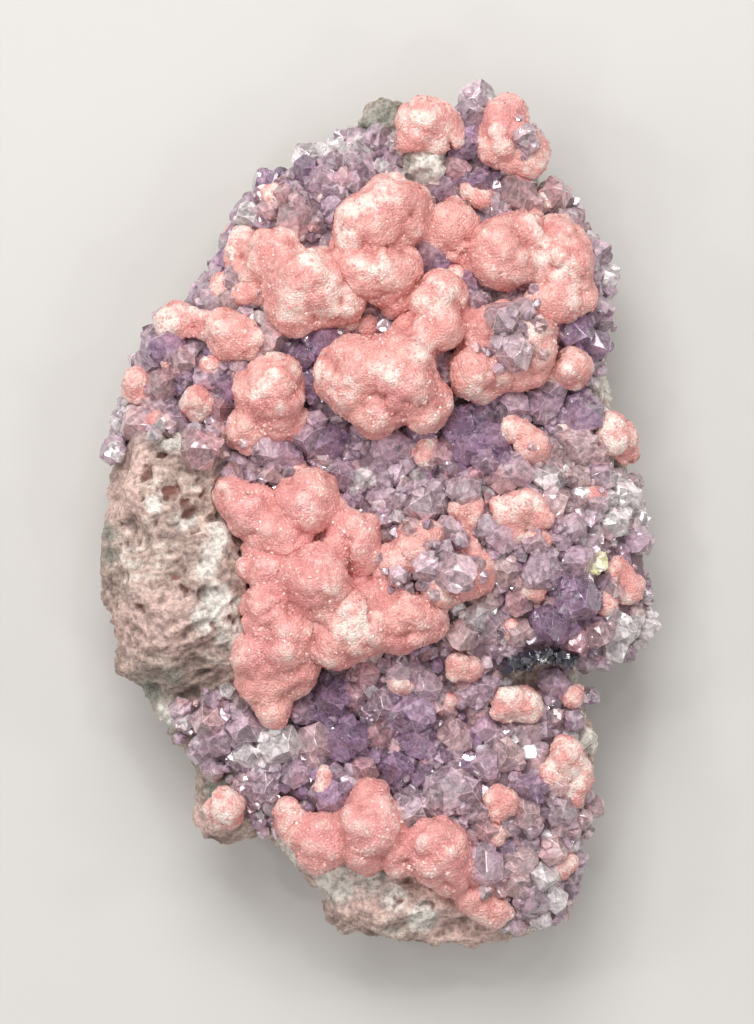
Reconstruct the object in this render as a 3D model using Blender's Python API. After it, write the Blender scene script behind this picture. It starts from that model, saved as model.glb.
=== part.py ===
"""Rhodochrosite on amethyst: a mineral specimen, lying on its flat back with its crystals up.

Run with: blender --background --python part.py
+Z points out of the crystal-covered front, +Y to the specimen's top and +X to its right.
The origin is under the middle of the specimen, on the surface that it rests on.
"""

import math
import random

import bmesh
import bpy
from mathutils import Matrix, Vector, noise
from mathutils.bvhtree import BVHTree
from mathutils.geometry import delaunay_2d_cdt

# Driving dimensions. Every place and size below is in millimetres on a specimen of FULL_SIZE_MM.
SPECIMEN_HEIGHT = 0.150
FULL_SIZE_MM = 150
MM = SPECIMEN_HEIGHT / FULL_SIZE_MM

GAP = 0.36  # air left between minerals that touch
CRYSTAL_GAP = 0.6  # and between the crystals and what they touch, before they are simplified
LEAST_GAP = 0.1  # the least that is left after that
DRUSE_VOXEL = 0.5  # grid that turns the crust and its crystals into one skin
DRUSE_THICKNESS = 2.3  # the crust that the amethyst crystals stand on
DRUSE_LOWEST = 15.5  # how far down the rim the crust reaches
CRYSTAL_WIDTH = 1.3  # a whole crystal's width over the width of what shows of it
LUMP_LIFT = 0.72  # how much of its listed lift each rhodochrosite lobe has over the crust
FRONT_BASE = 20.0  # height of the rock's front at its rim
FRONT_DOME = 6.5  # how much higher the middle of the rock's front is
WIDEST_HEIGHT = 12.0  # where the rock is as wide as its outline
FOOT_SHARE = 0.84  # the sawn back's outline, as a share of the rock's
MIDDLE = (-0.2, 0.3)  # the middle of the whole specimen's box, in the places used below
GRID = 8.5  # spacing of the points on the rock's front
ROCK_TRIANGLES = 850  # about how many triangles the rock has before its pits
DRUSE_TRIANGLES = 4300  # about how many triangles that skin keeps
ROCK_TRIANGLE = 9.0  # square millimetres to a triangle on the rock's lumps
LOBE_TRIANGLE = 7.0  # and on the rhodochrosite
KEPT_SHARE = 0.62  # the share of its triangles that a cut lump keeps
SKY = 90.0  # a height above everything

# The rock's outline, clockwise from the top.
ROCK_OUTLINE = [
    (3, 73.2), (7, 72.2), (12, 70), (17, 72), (21.5, 71.5), (25.5, 68.5), (27, 63), (28.8, 59),
    (31, 55.5), (34.3, 52.3), (35.8, 48), (37.6, 43.5), (39.2, 39), (39.8, 34), (40, 28.5),
    (40.6, 22), (42.2, 16), (43.8, 11.5), (43, 7.5), (43.8, 2.5), (45.2, -3.5), (45.2, -9.5),
    (44.8, -15), (45.5, -19), (42.5, -22.5), (38, -24.5), (35, -27), (35.6, -31), (37.2, -35),
    (39, -39.3), (37.6, -44.5), (36.3, -50), (34.3, -56), (32.8, -61), (31.8, -66),
    (28.5, -71.2), (23, -72.6), (17.5, -74.6), (10, -75), (4, -73.6), (-2, -70.4), (-6.5, -68),
    (-11.5, -62.8), (-16.5, -57.3), (-20, -54.6), (-24, -56.3), (-29, -54.6), (-31.7, -49),
    (-31.4, -44), (-34.8, -38), (-38.8, -32.5), (-42.2, -28.5), (-44.2, -23.5), (-46.4, -17.5),
    (-47.6, -11), (-47.4, -4), (-47, 3), (-45.8, 9), (-43.6, 15), (-41.6, 20.5), (-40.6, 26),
    (-37.4, 31), (-35, 35.5), (-30.4, 36.6), (-27.6, 41), (-24.8, 45.4), (-23.2, 50),
    (-20.4, 54.5), (-16.6, 58.5), (-12.4, 61.5), (-6.5, 62.6), (-3.8, 65.6), (-1.6, 70),
]

# Hills and hollows of the rock's front: place, radius and height.
ROCK_HILLS = [
    (-31, -8, 15, 4.0), (30, -4, 13, 3.5), (-4, -35, 10, -4.0), (14, -36, 9, -3.5),
    (28, -33, 8, -5.0), (-9, 13, 8, -3.0), (14, 60, 9, -2.5), (9, 46, 6, -2.5),
    (-2, 37, 5, -3.0), (8, -66, 9, -3.0), (-12, 55, 9, 1.5), (25, -57, 8, 1.5), (20, 19, 8, -2.0),
]

# Lumps of rock that stand on the slab: x, y, z and the three radii.
ROCK_LUMPS = {
    "left_boss": [
        (-36, 4, 23, 10.5, 11, 11), (-33, -11, 23, 12.6, 14, 13), (-36.5, -21, 19, 9.5, 9, 11),
        (-29.5, 10, 25, 4.6, 4.2, 7), (-41, -6, 18, 6.8, 14, 11), (-26, -18, 22, 6.2, 9, 9),
    ],
    "lower_left_knob": [(-26.5, -50, 14, 5.4, 5.8, 8)],
    "green_crown": [(2.2, 69, 15, 5.2, 5.2, 8), (6, 68, 16, 4, 4.4, 6)],
    "white_crown": [(8.6, 61, 22, 4.8, 3.8, 5.5)],
    "lower_lip": [(6, -66.5, 14, 15, 7, 9), (16, -68.5, 12, 9.5, 5.6, 8)],
}
# Pits in the weathered rock: x, y and radius.
ROCK_PITS = [
    (-39.6, 8, 2.1), (-36.8, 11.2, 1.7), (-35.6, 4.4, 2.3), (-31.8, 2, 2.3), (-39, -5.4, 1.6),
    (-36.8, -7.4, 1.8), (-34.8, -9.4, 1.8), (-32.8, -11.6, 1.9),
    (-41, -15, 1.5), (-28.4, -12.5, 2.2), (-23, -22.6, 1.7), (3.8, -65.4, 1.5), (9, -66.6, 1.4),
]

# Where the amethyst crust reaches, clockwise from the top.
DRUSE_OUTLINE = [
    (13, 71), (17, 76), (20.5, 76), (22, 70), (30, 66), (33.5, 58), (32, 53.5), (36, 49.5), (40, 47),
    (42, 40), (38.5, 36), (38.5, 24), (40, 20), (38, 12), (50, 9), (50, -26), (36, -25),
    (35, -30), (33.5, -38), (36, -44), (32.8, -60), (31.5, -68.5), (24, -69.5), (17, -62),
    (14.5, -53), (4, -52), (-6, -51), (-14, -51), (-19, -53), (-22, -47), (-33.5, -36),
    (-33, -31), (-20, -28), (-19, 6), (-27, 9), (-32, 14), (-36, 15), (-46, 11), (-46, 22),
    (-43, 31), (-39, 38), (-31, 39), (-27, 46), (-28, 53), (-20, 62), (-17, 66), (-6, 67),
    (-3, 66.5), (0, 68), (3.5, 67.5), (4.5, 58), (12, 58),
]

# Rhodochrosite: each cluster's lobes as x, y, height of the lobe's middle above the rock, radius.
RHODOCHROSITE = {
    "crown_right": [(22.3, 69.8, 3, 3.9), (22.4, 66, 3.6, 4.5), (25.3, 63.6, 2.6, 3.9)],
    "crown_middle": [(8.6, 68.8, 3, 4.6), (6.8, 65.4, 3, 3.4), (11.4, 66, 3, 3.7)],
    "upper_middle": [
        (3, 53.4, 6, 5.9), (-1, 50, 7, 5.6), (-1.6, 44.6, 6.5, 5.9), (3.6, 42.6, 5, 4.6),
        (3, 38.6, 3.6, 3.5), (13, 51.4, 4, 4.1), (14.6, 47.4, 3, 3.2), (10.8, 49.6, 3, 3.6),
    ],
    "upper_left": [
        (-17.6, 46, 3.6, 4.3), (-12, 41.2, 6, 6.2), (-7.4, 38.6, 5, 5.1), (-14, 37.4, 4.6, 4.9),
        (-20.4, 42.6, 2, 2.9), (-22.4, 48, 1.6, 2.9), (-24, 44.6, 1.6, 2.8),
    ],
    "upper_right": [
        (21.6, 46.2, 4.6, 5.6), (25.6, 48.6, 3.8, 4.2), (32, 45, 4.4, 5.5), (33, 39.2, 3.6, 4.7),
        (29.4, 37.2, 2.6, 3.5), (31, 48.8, 2.8, 3.6),
    ],
    "left_shoulder": [
        (-34.6, 34, 2.6, 3.5), (-30.4, 33.8, 2.4, 3.1), (-25.6, 32.4, 2.8, 4.1),
        (-22.4, 31, 2.4, 3.4),
    ],
    "left_ball": [
        (-18.6, 22.4, 5, 5.7), (-16.6, 17.4, 3, 3.9), (-22.6, 15.4, 3, 3.4), (-22, 12.8, 2.6, 2.3),
    ],
    "left_pebble": [(-30.6, 20, 3.4, 2.9)],
    "centre": [
        (10.6, 38, 6.5, 4.7), (11.2, 33.2, 6, 4.3), (-3.4, 25.2, 7, 6.5), (4.2, 25, 8.6, 7.0),
        (0.6, 20, 6, 5.6), (7.6, 20.4, 6.4, 5.0), (6, 30.8, 6.4, 3.9),
    ],
    "centre_right": [
        (17.6, 32.4, 4.4, 3.7), (16.4, 25.6, 4.6, 4.2), (18.8, 23.4, 3.6, 2.8),
        (26.8, 31, 4.6, 4.4), (25.6, 26.8, 4.2, 4.0), (22, 33, 5, 4.6), (21.6, 26.6, 4.4, 3.6),
    ],
    "right_ball": [(33.4, 26.4, 3.4, 3.5)],
    "right_rim": [(41.2, 14.6, 1.8, 3.6), (43, 11.6, 1.2, 2.5)],
    "right_bean": [(24.4, 16, 3.6, 2.6), (27.4, 13, 3.4, 2.8)],
    "middle": [
        (2.2, 7.4, 6, 5.3), (7.4, 7.4, 4, 3.1), (-11.4, 3.6, 6.4, 5.2), (-22, 2, 4.6, 4.7),
        (-18.6, -1.4, 4.4, 3.9), (-25, 4.6, 4, 3.1), (-15, -2.8, 4.6, 3.7), (-4, -2.8, 5.6, 4.4),
        (-3, -6.2, 5, 2.8), (-10.1, -10.5, 8.4, 5.4), (-19.8, -8, 3.6, 3.3),
        (-15.6, -7.8, 3.6, 3.1), (-18.4, -15.4, 4.6, 4.7), (-15.6, -20, 4.6, 5.0),
        (-20.4, -23.4, 4.2, 4.1), (-3.4, -17.4, 7.4, 5.6), (-6.6, -20.6, 6.6, 4.4),
        (5, -17, 6.4, 4.9), (9.4, -18, 5, 2.9), (-14.4, -26, 3.8, 4.3), (-19.4, -28, 3.2, 4.1),
        (-17.4, -32.6, 2.6, 3.2), (2, -12.4, 3.4, 3.6),
    ],
    "under_pale_crystals": [
        (7.4, -3.4, 5.4, 3.5), (3, -7.6, 4.4, 3.4), (12, -10.4, 4.6, 4.3), (16.6, -9.4, 4, 3.7),
        (15.8, 1.4, 4, 2.9), (15.2, -3.4, 3.4, 2.8),
    ],
    "cream_knot": [(25.4, 2, 4, 3.3), (22.4, 2.4, 3.4, 2.5), (28.2, 0.8, 3.6, 2.2)],
    "right_edge": [(43, -11.6, 0.6, 2.9), (41, -8.6, 1.4, 2.2)],
    "ledge_pebble": [(14, -25.4, 2.8, 2.6)],
    "white_ledge": [(22, -31.4, 3.4, 3.0), (26, -31.8, 3.2, 2.9)],
    "corner_patch": [(32.4, -40.6, 1.8, 3.2), (35, -44.6, 0.6, 3.0), (34, -47.8, 0.4, 2.5)],
    "corner_pebble": [(22, -48.8, 3.2, 2.5)],
    "bottom": [
        (-1, -52.2, 4.6, 5.3), (0, -48.2, 3.4, 3.5), (-9.4, -55.4, 3.2, 4.7),
        (-13, -53.8, 2.2, 3.0), (10.6, -56.6, 4.4, 5.2), (4.2, -57.4, 4, 3.9),
        (13.2, -60.6, 3.4, 4.0), (17.6, -64.6, 2.2, 3.4), (20.8, -67.8, 1.2, 2.7),
        (-3, -57.4, 2.8, 4.2), (-15.4, -50.2, 2.4, 2.6),
    ],
    "lower_left_patch": [(-26, -50, 4.6, 3.3)],
}

# Amethyst crystals of the crust: x, y, width across the prism, and which way the tip leans.
AMETHYST = [
    # upper left
    (-13, 62.5, 4.4, -0.7, 0.25), (-9.4, 63.6, 3.6, -0.1, 0.5), (-7.4, 61.6, 3.8, 0.2, 0.3),
    (-12.3, 59.8, 3.6, -0.2, -0.1), (-9, 57.6, 4.4, 0, 0), (-4.4, 62.4, 4.0, 0, 0.3),
    (-1.6, 61, 4.4, 0.2, 0.1), (-2.6, 57.8, 3.8, 0, 0.1), (1.2, 66.2, 4.6, 0.1, 0.3),
    (-2.4, 65.2, 3.6, -0.3, 0.3), (-17.6, 58.2, 4.8, -0.2, 0.5), (-14.4, 54.8, 4.2, 0.1, -0.2),
    (-18.2, 52.6, 4.2, -0.2, 0), (-22.2, 52, 4.4, -0.6, 0.1), (-12.6, 50.8, 6.2, 0, -0.1),
    (-7.2, 52.8, 4.4, 0, 0.1), (-8.4, 48, 5.8, -0.5, -0.25), (-5.4, 57.6, 4.0, 0.1, -0.1),
    (-23.4, 41, 4.8, -0.1, 0), (-19.4, 38.6, 3.6, 0, 0), (-28, 38, 4.4, -0.2, 0.3),
    (-24.2, 36.8, 4.0, 0, -0.1),
    # left
    (-27, 30.4, 4.4, 0, 0), (-17, 31.4, 5.6, 0.35, 0), (-8.6, 31.6, 5.0, 0, 0.2),
    (-13, 28, 4.4, -0.1, 0), (-10.6, 23.4, 4.6, 0.1, 0), (-34.6, 29.6, 5.8, 0, 0.1),
    (-32, 26.6, 4.6, 0.1, -0.1), (-38.8, 27.6, 4.8, -0.4, 0.2), (-25, 22.4, 4.8, 0, 0),
    (-26.6, 18.4, 4.0, -0.1, -0.2), (-35.4, 23, 5.0, 0.1, 0), (-40.6, 16.6, 5.4, -0.3, 0.1),
    (-33.4, 17, 4.0, 0.1, 0), (-29, 24.6, 4.0, 0, 0.1), (-27.6, 10.4, 5.6, 0.6, -0.2),
    (-19.6, 11.6, 5.0, 0.1, -0.2), (-16, 11, 4.8, 0.2, 0), (-21.8, 7, 3.2, 0, -0.2),
    # between the middle lumps
    (-12, 15.4, 6.8, -0.2, 0), (-7, 14.4, 6.4, 0.4, 0.15), (-9, 10, 4.2, 0.1, -0.3),
    (-5.2, 6.6, 4.4, 0, 0), (-5, 2.2, 3.4, 0, -0.2), (2, 13, 6.0, -0.3, 0), (7.8, 15.6, 4.6, 0, 0.1),
    (10.6, 11.2, 4.4, 0.1, -0.1), (13, 16.4, 5.6, -0.1, 0.1), (17.6, 17.4, 5.2, 0.1, 0.1),
    (15, 12.4, 5.4, 0, 0), (20.2, 13, 5.6, 0.1, -0.1), (18.6, 9.4, 4.6, 0, -0.2),
    (34.4, 19, 6.4, 0, 0.3), (28.6, 19.4, 5.2, 0, 0), (23.6, 20, 5.2, 0, 0), (11, 24, 4.0, 0, 0),
    (34, 12, 6.2, 0, -0.1), (37.4, 11.4, 4.6, 0.2, -0.1), (30.4, 23, 4.4, 0, 0.1),
    (38, 29.6, 4.6, 0.4, -0.3), (34, 32.4, 6.2, 0.35, -0.1), (37.4, 36.4, 4.6, 0.3, 0),
    # upper right
    (18, 73.4, 4.8, 0.2, 0.6), (16, 70, 5.4, -0.1, 0.2), (16.2, 65.4, 5.8, 0, 0),
    (19.2, 62.4, 4.2, 0, -0.1), (11.6, 57, 5.0, 0.1, 0.2), (14, 60.6, 4.2, 0, 0),
    (17.6, 57.6, 4.6, 0, 0), (24, 56, 5.8, 0, 0.1), (30.6, 56, 4.8, 0.3, 0.1),
    (27, 53.8, 4.0, 0.1, 0), (8, 46, 6.6, 0, 0), (12.4, 43.2, 4.2, 0.1, -0.2),
    (15.6, 40.4, 4.8, 0, 0), (17, 50.4, 3.8, 0, 0), (26.2, 42.4, 5.0, 0, 0.1),
    (37, 46, 4.0, 0.4, 0.2), (38.6, 41.2, 4.0, 0.4, 0), (-1.6, 36.4, 4.4, 0, 0), (17, 37.4, 4.4, 0, 0.1),
    # right field
    (24.6, 8.4, 5.2, 0, 0.1), (21.4, 6.2, 4.2, -0.1, 0), (22, 10.8, 3.6, 0, 0.2),
    (29.6, 7, 4.8, 0.1, 0.1), (33.6, 6.6, 3.8, 0, 0), (31.4, 2.6, 4.8, 0.4, -0.1),
    (38, 7, 4.8, 0.2, 0.2), (42.6, 4.4, 4.8, 0.4, 0.1), (36.4, 2.4, 4.2, 0, 0),
    (40.4, -0.6, 4.6, 0.2, 0), (44.6, -3.6, 4.4, 0.5, 0), (33.4, -1.6, 4.6, 0, 0),
    (22, -3.2, 4.8, 0.1, 0.1), (18.4, -0.6, 4.2, -0.1, 0.2), (27.4, -4, 4.4, 0, 0),
    (22, -8.2, 4.6, 0, 0), (28.2, -8.6, 5.8, 0, 0), (33, -7, 5.0, 0, 0.1), (37.6, -5.6, 4.6, 0, 0),
    (39.6, -12.4, 4.2, 0, -0.1), (34.6, -13.4, 6.8, 0.1, -0.1), (29.4, -17.4, 6.4, -0.1, -0.3),
    (24.6, -13.4, 4.6, 0, 0), (19, -13, 4.2, 0, -0.1), (16.4, -16.4, 4.6, -0.1, 0),
    (20, -18, 4.8, 0.1, 0), (15, -20.6, 4.8, 0, -0.4), (24.4, -19, 4.6, 0, -0.2),
    (37.6, -18.6, 5.0, 0.1, -0.2), (42.6, -18, 4.4, 0.3, 0), (45.4, -18, 3.8, 0.4, 0.2),
    (41, -22, 4.4, 0.2, -0.5), (34.4, -20.6, 4.6, 0, -0.4),
    # lower band
    (-8.6, -30, 6.0, -0.2, 0.1), (-3.8, -29.4, 4.2, 0.1, 0), (-13, -32.4, 4.0, 0, 0),
    (-17, -39, 6.2, 0, -0.1), (-22.4, -35.4, 5.0, 0, 0.1), (-28.4, -34, 4.8, -0.1, 0.1),
    (-27, -38, 4.2, -0.2, 0), (-22.2, -40.4, 4.2, -0.1, -0.1), (-5.2, -38.2, 6.8, 0, 0.1),
    (-11, -38.4, 6.0, 0, 0), (-7, -47.8, 5.8, 0, 0), (-14, -44.6, 4.4, 0.1, -0.1),
    (-19, -45, 4.2, -0.1, 0), (-2, -43.8, 4.6, 0, 0), (0.8, -37.6, 4.2, 0, 0), (3.4, -43, 4.8, 0, 0),
    (6.6, -32.6, 6.8, 0, 0), (1.4, -31, 4.8, 0, 0), (13.4, -38.4, 5.4, 0, 0),
    (7.6, -38.6, 5.4, 0.1, 0), (11.6, -46.6, 6.8, -0.2, 0.1), (16.4, -47.4, 5.4, 0.2, 0),
    (5.6, -50.4, 5.8, 0, 0), (18.4, -35.4, 4.2, 0, 0), (22.6, -41.6, 5.2, 0, 0),
    (18.6, -42.6, 4.4, -0.2, 0), (26.4, -37.4, 4.8, 0, 0.1), (19, -28, 4.2, 0, 0),
    (15.2, -29, 4.0, 0, 0), (8.8, -27.6, 4.8, 0, 0), (4.2, -25.6, 4.4, 0, 0), (-1, -25.6, 4.2, 0, 0),
    (30.6, -28, 4.6, 0.1, 0),
    # lower right corner
    (26.2, -47.2, 5.0, 0, 0), (25.6, -51.4, 4.8, 0, -0.1), (30.4, -46, 4.4, 0.1, 0),
    (31, -50.6, 4.8, 0.1, 0), (20, -53.4, 4.2, 0, 0), (18.6, -58.6, 6.2, -0.1, 0),
    (24, -57.4, 5.4, -0.1, 0.1), (29.6, -56.6, 4.8, 0.1, 0), (23.6, -62, 4.8, 0, 0),
    (28.2, -61.4, 5.0, 0.1, 0), (27, -66, 5.2, 0.1, -0.2), (31, -65.4, 4.0, 0.3, -0.1),
]

# Later crystals that grew on the rhodochrosite: x, y, width, length over width, lean.
LATE_CRYSTALS = {
    "pale_quartz_middle": [
        (7, 2.6, 6.4, 1.25, -0.75, 0.05), (11.4, 2.4, 5.2, 1.0, 0.2, 0), (15.4, 5, 5.8, 1.0, 0, 0.1),
        (10.4, 5.6, 4.2, 1.0, 0.1, 0.2), (12.2, -1.4, 4.8, 1.0, -0.1, 0), (11.6, -5, 4.8, 1.0, 0.1, 0.2),
        (8.6, -7.6, 6.4, 1.1, -0.3, 0.1), (14.4, -9, 7.0, 1.35, 0.7, -0.2),
        (3.8, -9.4, 3.6, 1.0, 0, -0.1),
    ],
    "lilac_quartz_centre_right": [
        (21.4, 35.2, 6.2, 1.0, -0.1, 0.3), (25.8, 36.6, 4.8, 1.0, 0.2, 0.3),
        (24.2, 28.6, 6.8, 1.1, 0.05, -0.2), (21.2, 30.6, 4.2, 1.0, -0.1, 0),
    ],
    "lilac_quartz_crown": [(26.2, 66.6, 4.4, 1.0, 0.4, 0.1), (27, 64.6, 3.2, 1.0, 0.4, -0.1)],
}

# Dark sphalerite blocks in the seam under the right-hand ledge: x, y, width, turn in degrees.
SPHALERITE = [
    (22.2, -25.4, 2.6, 12), (24.4, -24.8, 2.8, 40), (26.8, -23.8, 3.2, 5), (29, -23.4, 3.4, 28),
    (31.4, -23.6, 3.0, 15), (33.6, -24.2, 2.4, 35),
]
# The cream calcite fleck in the right-hand field, in the same terms.
CALCITE = [(38, -8.6, 2.8, 20), (39.6, -7.4, 2.4, 55), (38.6, -6.8, 2.0, 10)]

# Each mineral's colour and roughness, by the word that its pieces' names hold.
MINERALS = {
    "host_rock": ((0.50, 0.42, 0.37, 1), 0.9),
    "amethyst": ((0.36, 0.27, 0.46, 1), 0.15),
    "quartz": ((0.60, 0.52, 0.62, 1), 0.12),
    "rhodochrosite": ((0.80, 0.38, 0.33, 1), 0.5),
    "sphalerite": ((0.02, 0.02, 0.035, 1), 0.3),
    "calcite": ((0.80, 0.76, 0.55, 1), 0.4),
}


def clear_scene():
    for obj in list(bpy.data.objects):
        bpy.data.objects.remove(obj)


def material(mineral):
    """One Principled material with this mineral's colour and roughness."""
    made = bpy.data.materials.get(mineral) or bpy.data.materials.new(mineral)
    made.use_nodes = True
    colour, roughness = MINERALS[mineral]
    shader = made.node_tree.nodes["Principled BSDF"]
    shader.inputs["Base Color"].default_value = colour
    shader.inputs["Roughness"].default_value = roughness
    return made


def add_object(name, mesh):
    obj = bpy.data.objects.new(name, mesh)
    bpy.context.scene.collection.objects.link(obj)
    return obj


def add_piece(name, mesh):
    """A finished piece of the specimen: one named object with its mineral's material."""
    mineral = next(word for word in MINERALS if word in name)
    mesh.materials.clear()
    mesh.materials.append(material(mineral))
    mesh.transform(Matrix.Translation(Vector((-MIDDLE[0], -MIDDLE[1], 0)) * MM))
    mesh.name = name
    return add_object(name, mesh)


def mesh_of(bm):
    """The mesh that a bmesh holds, triangulated, with its faces pointing out."""
    bmesh.ops.recalc_face_normals(bm, faces=bm.faces)
    bmesh.ops.triangulate(bm, faces=bm.faces)
    mesh = bpy.data.meshes.new("shape")
    bm.to_mesh(mesh)
    bm.free()
    return mesh


def with_modifiers(mesh, *steps):
    """The mesh after these modifiers, each given as (type, settings), have been applied."""
    holder = add_object("holder", mesh)
    for kind, settings in steps:
        modifier = holder.modifiers.new(kind, kind)
        for setting, value in settings.items():
            setattr(modifier, setting, value)
    graph = bpy.context.evaluated_depsgraph_get()
    made = bpy.data.meshes.new_from_object(holder.evaluated_get(graph))
    bpy.data.objects.remove(holder)
    return made


def is_closed(mesh):
    bm = bmesh.new()
    bm.from_mesh(mesh)
    closed = all(edge.is_manifold for edge in bm.edges)
    bm.free()
    return closed


def mended(mesh):
    """The mesh in triangles, with the folded slivers that a cut leaves taken out and filled."""
    bm = bmesh.new()
    bm.from_mesh(mesh)
    bmesh.ops.triangulate(bm, faces=bm.faces)
    for _ in range(12):
        torn = [edge for edge in bm.edges if not edge.is_manifold]
        if not torn:
            break
        around = {vert for edge in torn for vert in edge.verts}
        spoilt = [face for face in bm.faces if not around.isdisjoint(face.verts)]
        bmesh.ops.delete(bm, geom=spoilt, context="FACES")
        bmesh.ops.delete(bm, geom=[v for v in bm.verts if not v.link_faces], context="VERTS")
        rims = [edge for edge in bm.edges if edge.is_boundary]
        filled = bmesh.ops.holes_fill(bm, edges=rims)["faces"]
        bmesh.ops.triangulate(bm, faces=filled)
    return mesh_of(bm)


def boolean(mesh, other, operation):
    """The mesh joined with the other one, or cut by it.

    The solver is MANIFOLD because EXACT leaves open edges where a grown surface crosses itself.
    """
    cutter = add_object("cutter", other)
    settings = {"object": cutter, "operation": operation, "solver": "MANIFOLD"}
    made = with_modifiers(mesh, ("BOOLEAN", settings))
    bpy.data.objects.remove(cutter)
    return mended(made)


def grown(mesh, distance_mm):
    """A copy of the mesh with each of its faces moved outwards by this distance."""
    bm = bmesh.new()
    bm.from_mesh(mesh)
    bm.normal_update()
    moved = {}
    for vert in bm.verts:
        least = min(max(vert.normal.dot(face.normal), 0.55) for face in vert.link_faces)
        moved[vert] = vert.co + vert.normal * (distance_mm * MM / least)
    for vert, place in moved.items():
        vert.co = place
    return mesh_of(bm)


def largest_body(mesh):
    """The mesh without the small loose bits that a cut leaves beside its main body."""
    bm = bmesh.new()
    bm.from_mesh(mesh)
    seen, bodies = set(), []
    for first in bm.faces:
        if first in seen:
            continue
        body, todo = [], [first]
        seen.add(first)
        while todo:
            face = todo.pop()
            body.append(face)
            for edge in face.edges:
                fresh = [other for other in edge.link_faces if other not in seen]
                seen.update(fresh)
                todo += fresh
        bodies.append(body)
    bodies.sort(key=lambda body: sum(face.calc_area() for face in body))
    bmesh.ops.delete(bm, geom=[f for body in bodies[:-1] for f in body], context="FACES")
    bmesh.ops.delete(bm, geom=[v for v in bm.verts if not v.link_faces], context="VERTS")
    return mesh_of(bm)


def surface_tree(*meshes):
    """A tree that finds points on these meshes."""
    points, faces = [], []
    for mesh in meshes:
        start = len(points)
        points += [vert.co.copy() for vert in mesh.vertices]
        faces += [[start + index for index in face.vertices] for face in mesh.polygons]
    return BVHTree.FromPolygons(points, faces)


def on_surface(tree, x, y):
    """The point and the normal of the front over (x, y), or the nearest point at its rim."""
    place, normal, _, _ = tree.ray_cast(Vector((x, y, SKY)) * MM, Vector((0, 0, -1)))
    if place is None or place.z < WIDEST_HEIGHT * MM:
        place, normal, _, _ = tree.find_nearest(Vector((x, y, FRONT_BASE - 3)) * MM)
    return place, normal


def distance_to_outline(x, y):
    point = Vector((x, y))
    nearest = math.inf
    for i, corner in enumerate(ROCK_OUTLINE):
        a, b = Vector(ROCK_OUTLINE[i - 1]), Vector(corner)
        along = max(0.0, min(1.0, (point - a).dot(b - a) / (b - a).length_squared))
        nearest = min(nearest, (a + (b - a) * along - point).length)
    return nearest


def inside(outline, x, y):
    """Whether (x, y) lies inside the outline."""
    within = False
    for i, (bx, by) in enumerate(outline):
        ax, ay = outline[i - 1]
        if (ay > y) != (by > y) and x < ax + (y - ay) / (by - ay) * (bx - ax):
            within = not within
    return within


def front_height(x, y):
    """Height in millimetres of the rock's front, without the lumps that stand on it."""
    dome = FRONT_DOME * (1 - (x / 50) ** 2) * (1 - (y / 80) ** 2)
    hills = sum(
        height * math.exp(-((x - cx) ** 2 + (y - cy) ** 2) / radius**2)
        for cx, cy, radius, height in ROCK_HILLS
    )
    fade = min(1.0, distance_to_outline(x, y) / 9)
    rough = 1.1 * noise.noise(Vector((x, y, 0)) * 0.16)
    return FRONT_BASE - 1.5 + fade * (1.5 + dome + hills) + rough


def wander(place):
    """A shift that changes smoothly from place to place."""
    return Vector(noise.noise(place + Vector((apart, 0, -apart))) for apart in (0, 17, 41))


def rock_slab():
    """The slab: a flat sawn back, a broken side, and a front over jittered points."""
    jitter = random.Random(11)
    centre = Vector((0, -1))
    # share of the outline, height, and roughness of each ring, from the sawn back up
    rings = [(FOOT_SHARE - 0.05, -3, 0), (0.95, 4.5, 1.3), (1.0, WIDEST_HEIGHT, 0.9)]
    bm = bmesh.new()
    levels = []
    for share, height, rough in rings:
        ring = []
        for x, y in ROCK_OUTLINE:
            flat = centre + (Vector((x, y)) - centre) * share
            shift = wander(Vector((x, y, height * 3)) * 0.13) * rough
            shift.z *= 1.6
            flat *= 1 - max(0.0, 0.02 * jitter.random()) * (rough > 1)
            ring.append(bm.verts.new((Vector((flat.x, flat.y, height)) + shift) * MM))
        levels.append(ring)
    rim = [centre + (Vector(corner) - centre) * 0.985 for corner in ROCK_OUTLINE]
    inner = []
    row, y = 0, -74.0
    while y < 74:
        x = -48.0 + (row % 2) * GRID / 2
        while x < 48:
            px = x + jitter.uniform(-1.6, 1.6)
            py = y + jitter.uniform(-1.6, 1.6)
            if inside(ROCK_OUTLINE, px, py) and distance_to_outline(px, py) > 4.5:
                inner.append(Vector((px, py)))
            x += GRID
        y += GRID * math.sqrt(3) / 2
        row += 1
    count = len(rim)
    loop = list(range(count))
    points, _, faces, _, _, _ = delaunay_2d_cdt(rim + inner, [], [loop], 1, 0.0001)
    front = [
        bm.verts.new(Vector((point.x, point.y, front_height(point.x, point.y))) * MM)
        for point in points
    ]
    for face in faces:
        bm.faces.new([front[i] for i in face])
    levels.append(front[:count])
    for low, high in zip(levels, levels[1:]):
        for i in range(count):
            bm.faces.new((low[i - 1], low[i], high[i], high[i - 1]))
    bm.faces.new(levels[0])
    return mesh_of(bm)


def add_lump(bm, centre, radii, rough, detail):
    """One rough ball or ellipsoid, in millimetres, added to the bmesh."""
    made = bmesh.ops.create_icosphere(bm, subdivisions=detail, radius=1.0)
    for vert in made["verts"]:
        out = vert.co.copy()
        place = Vector(centre) + Vector(a * b for a, b in zip(out, radii))
        bump = noise.noise(place * 0.22) * 0.7 + noise.noise(place * 0.55) * 0.4
        vert.co = (place + out * (bump * rough)) * MM


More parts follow.
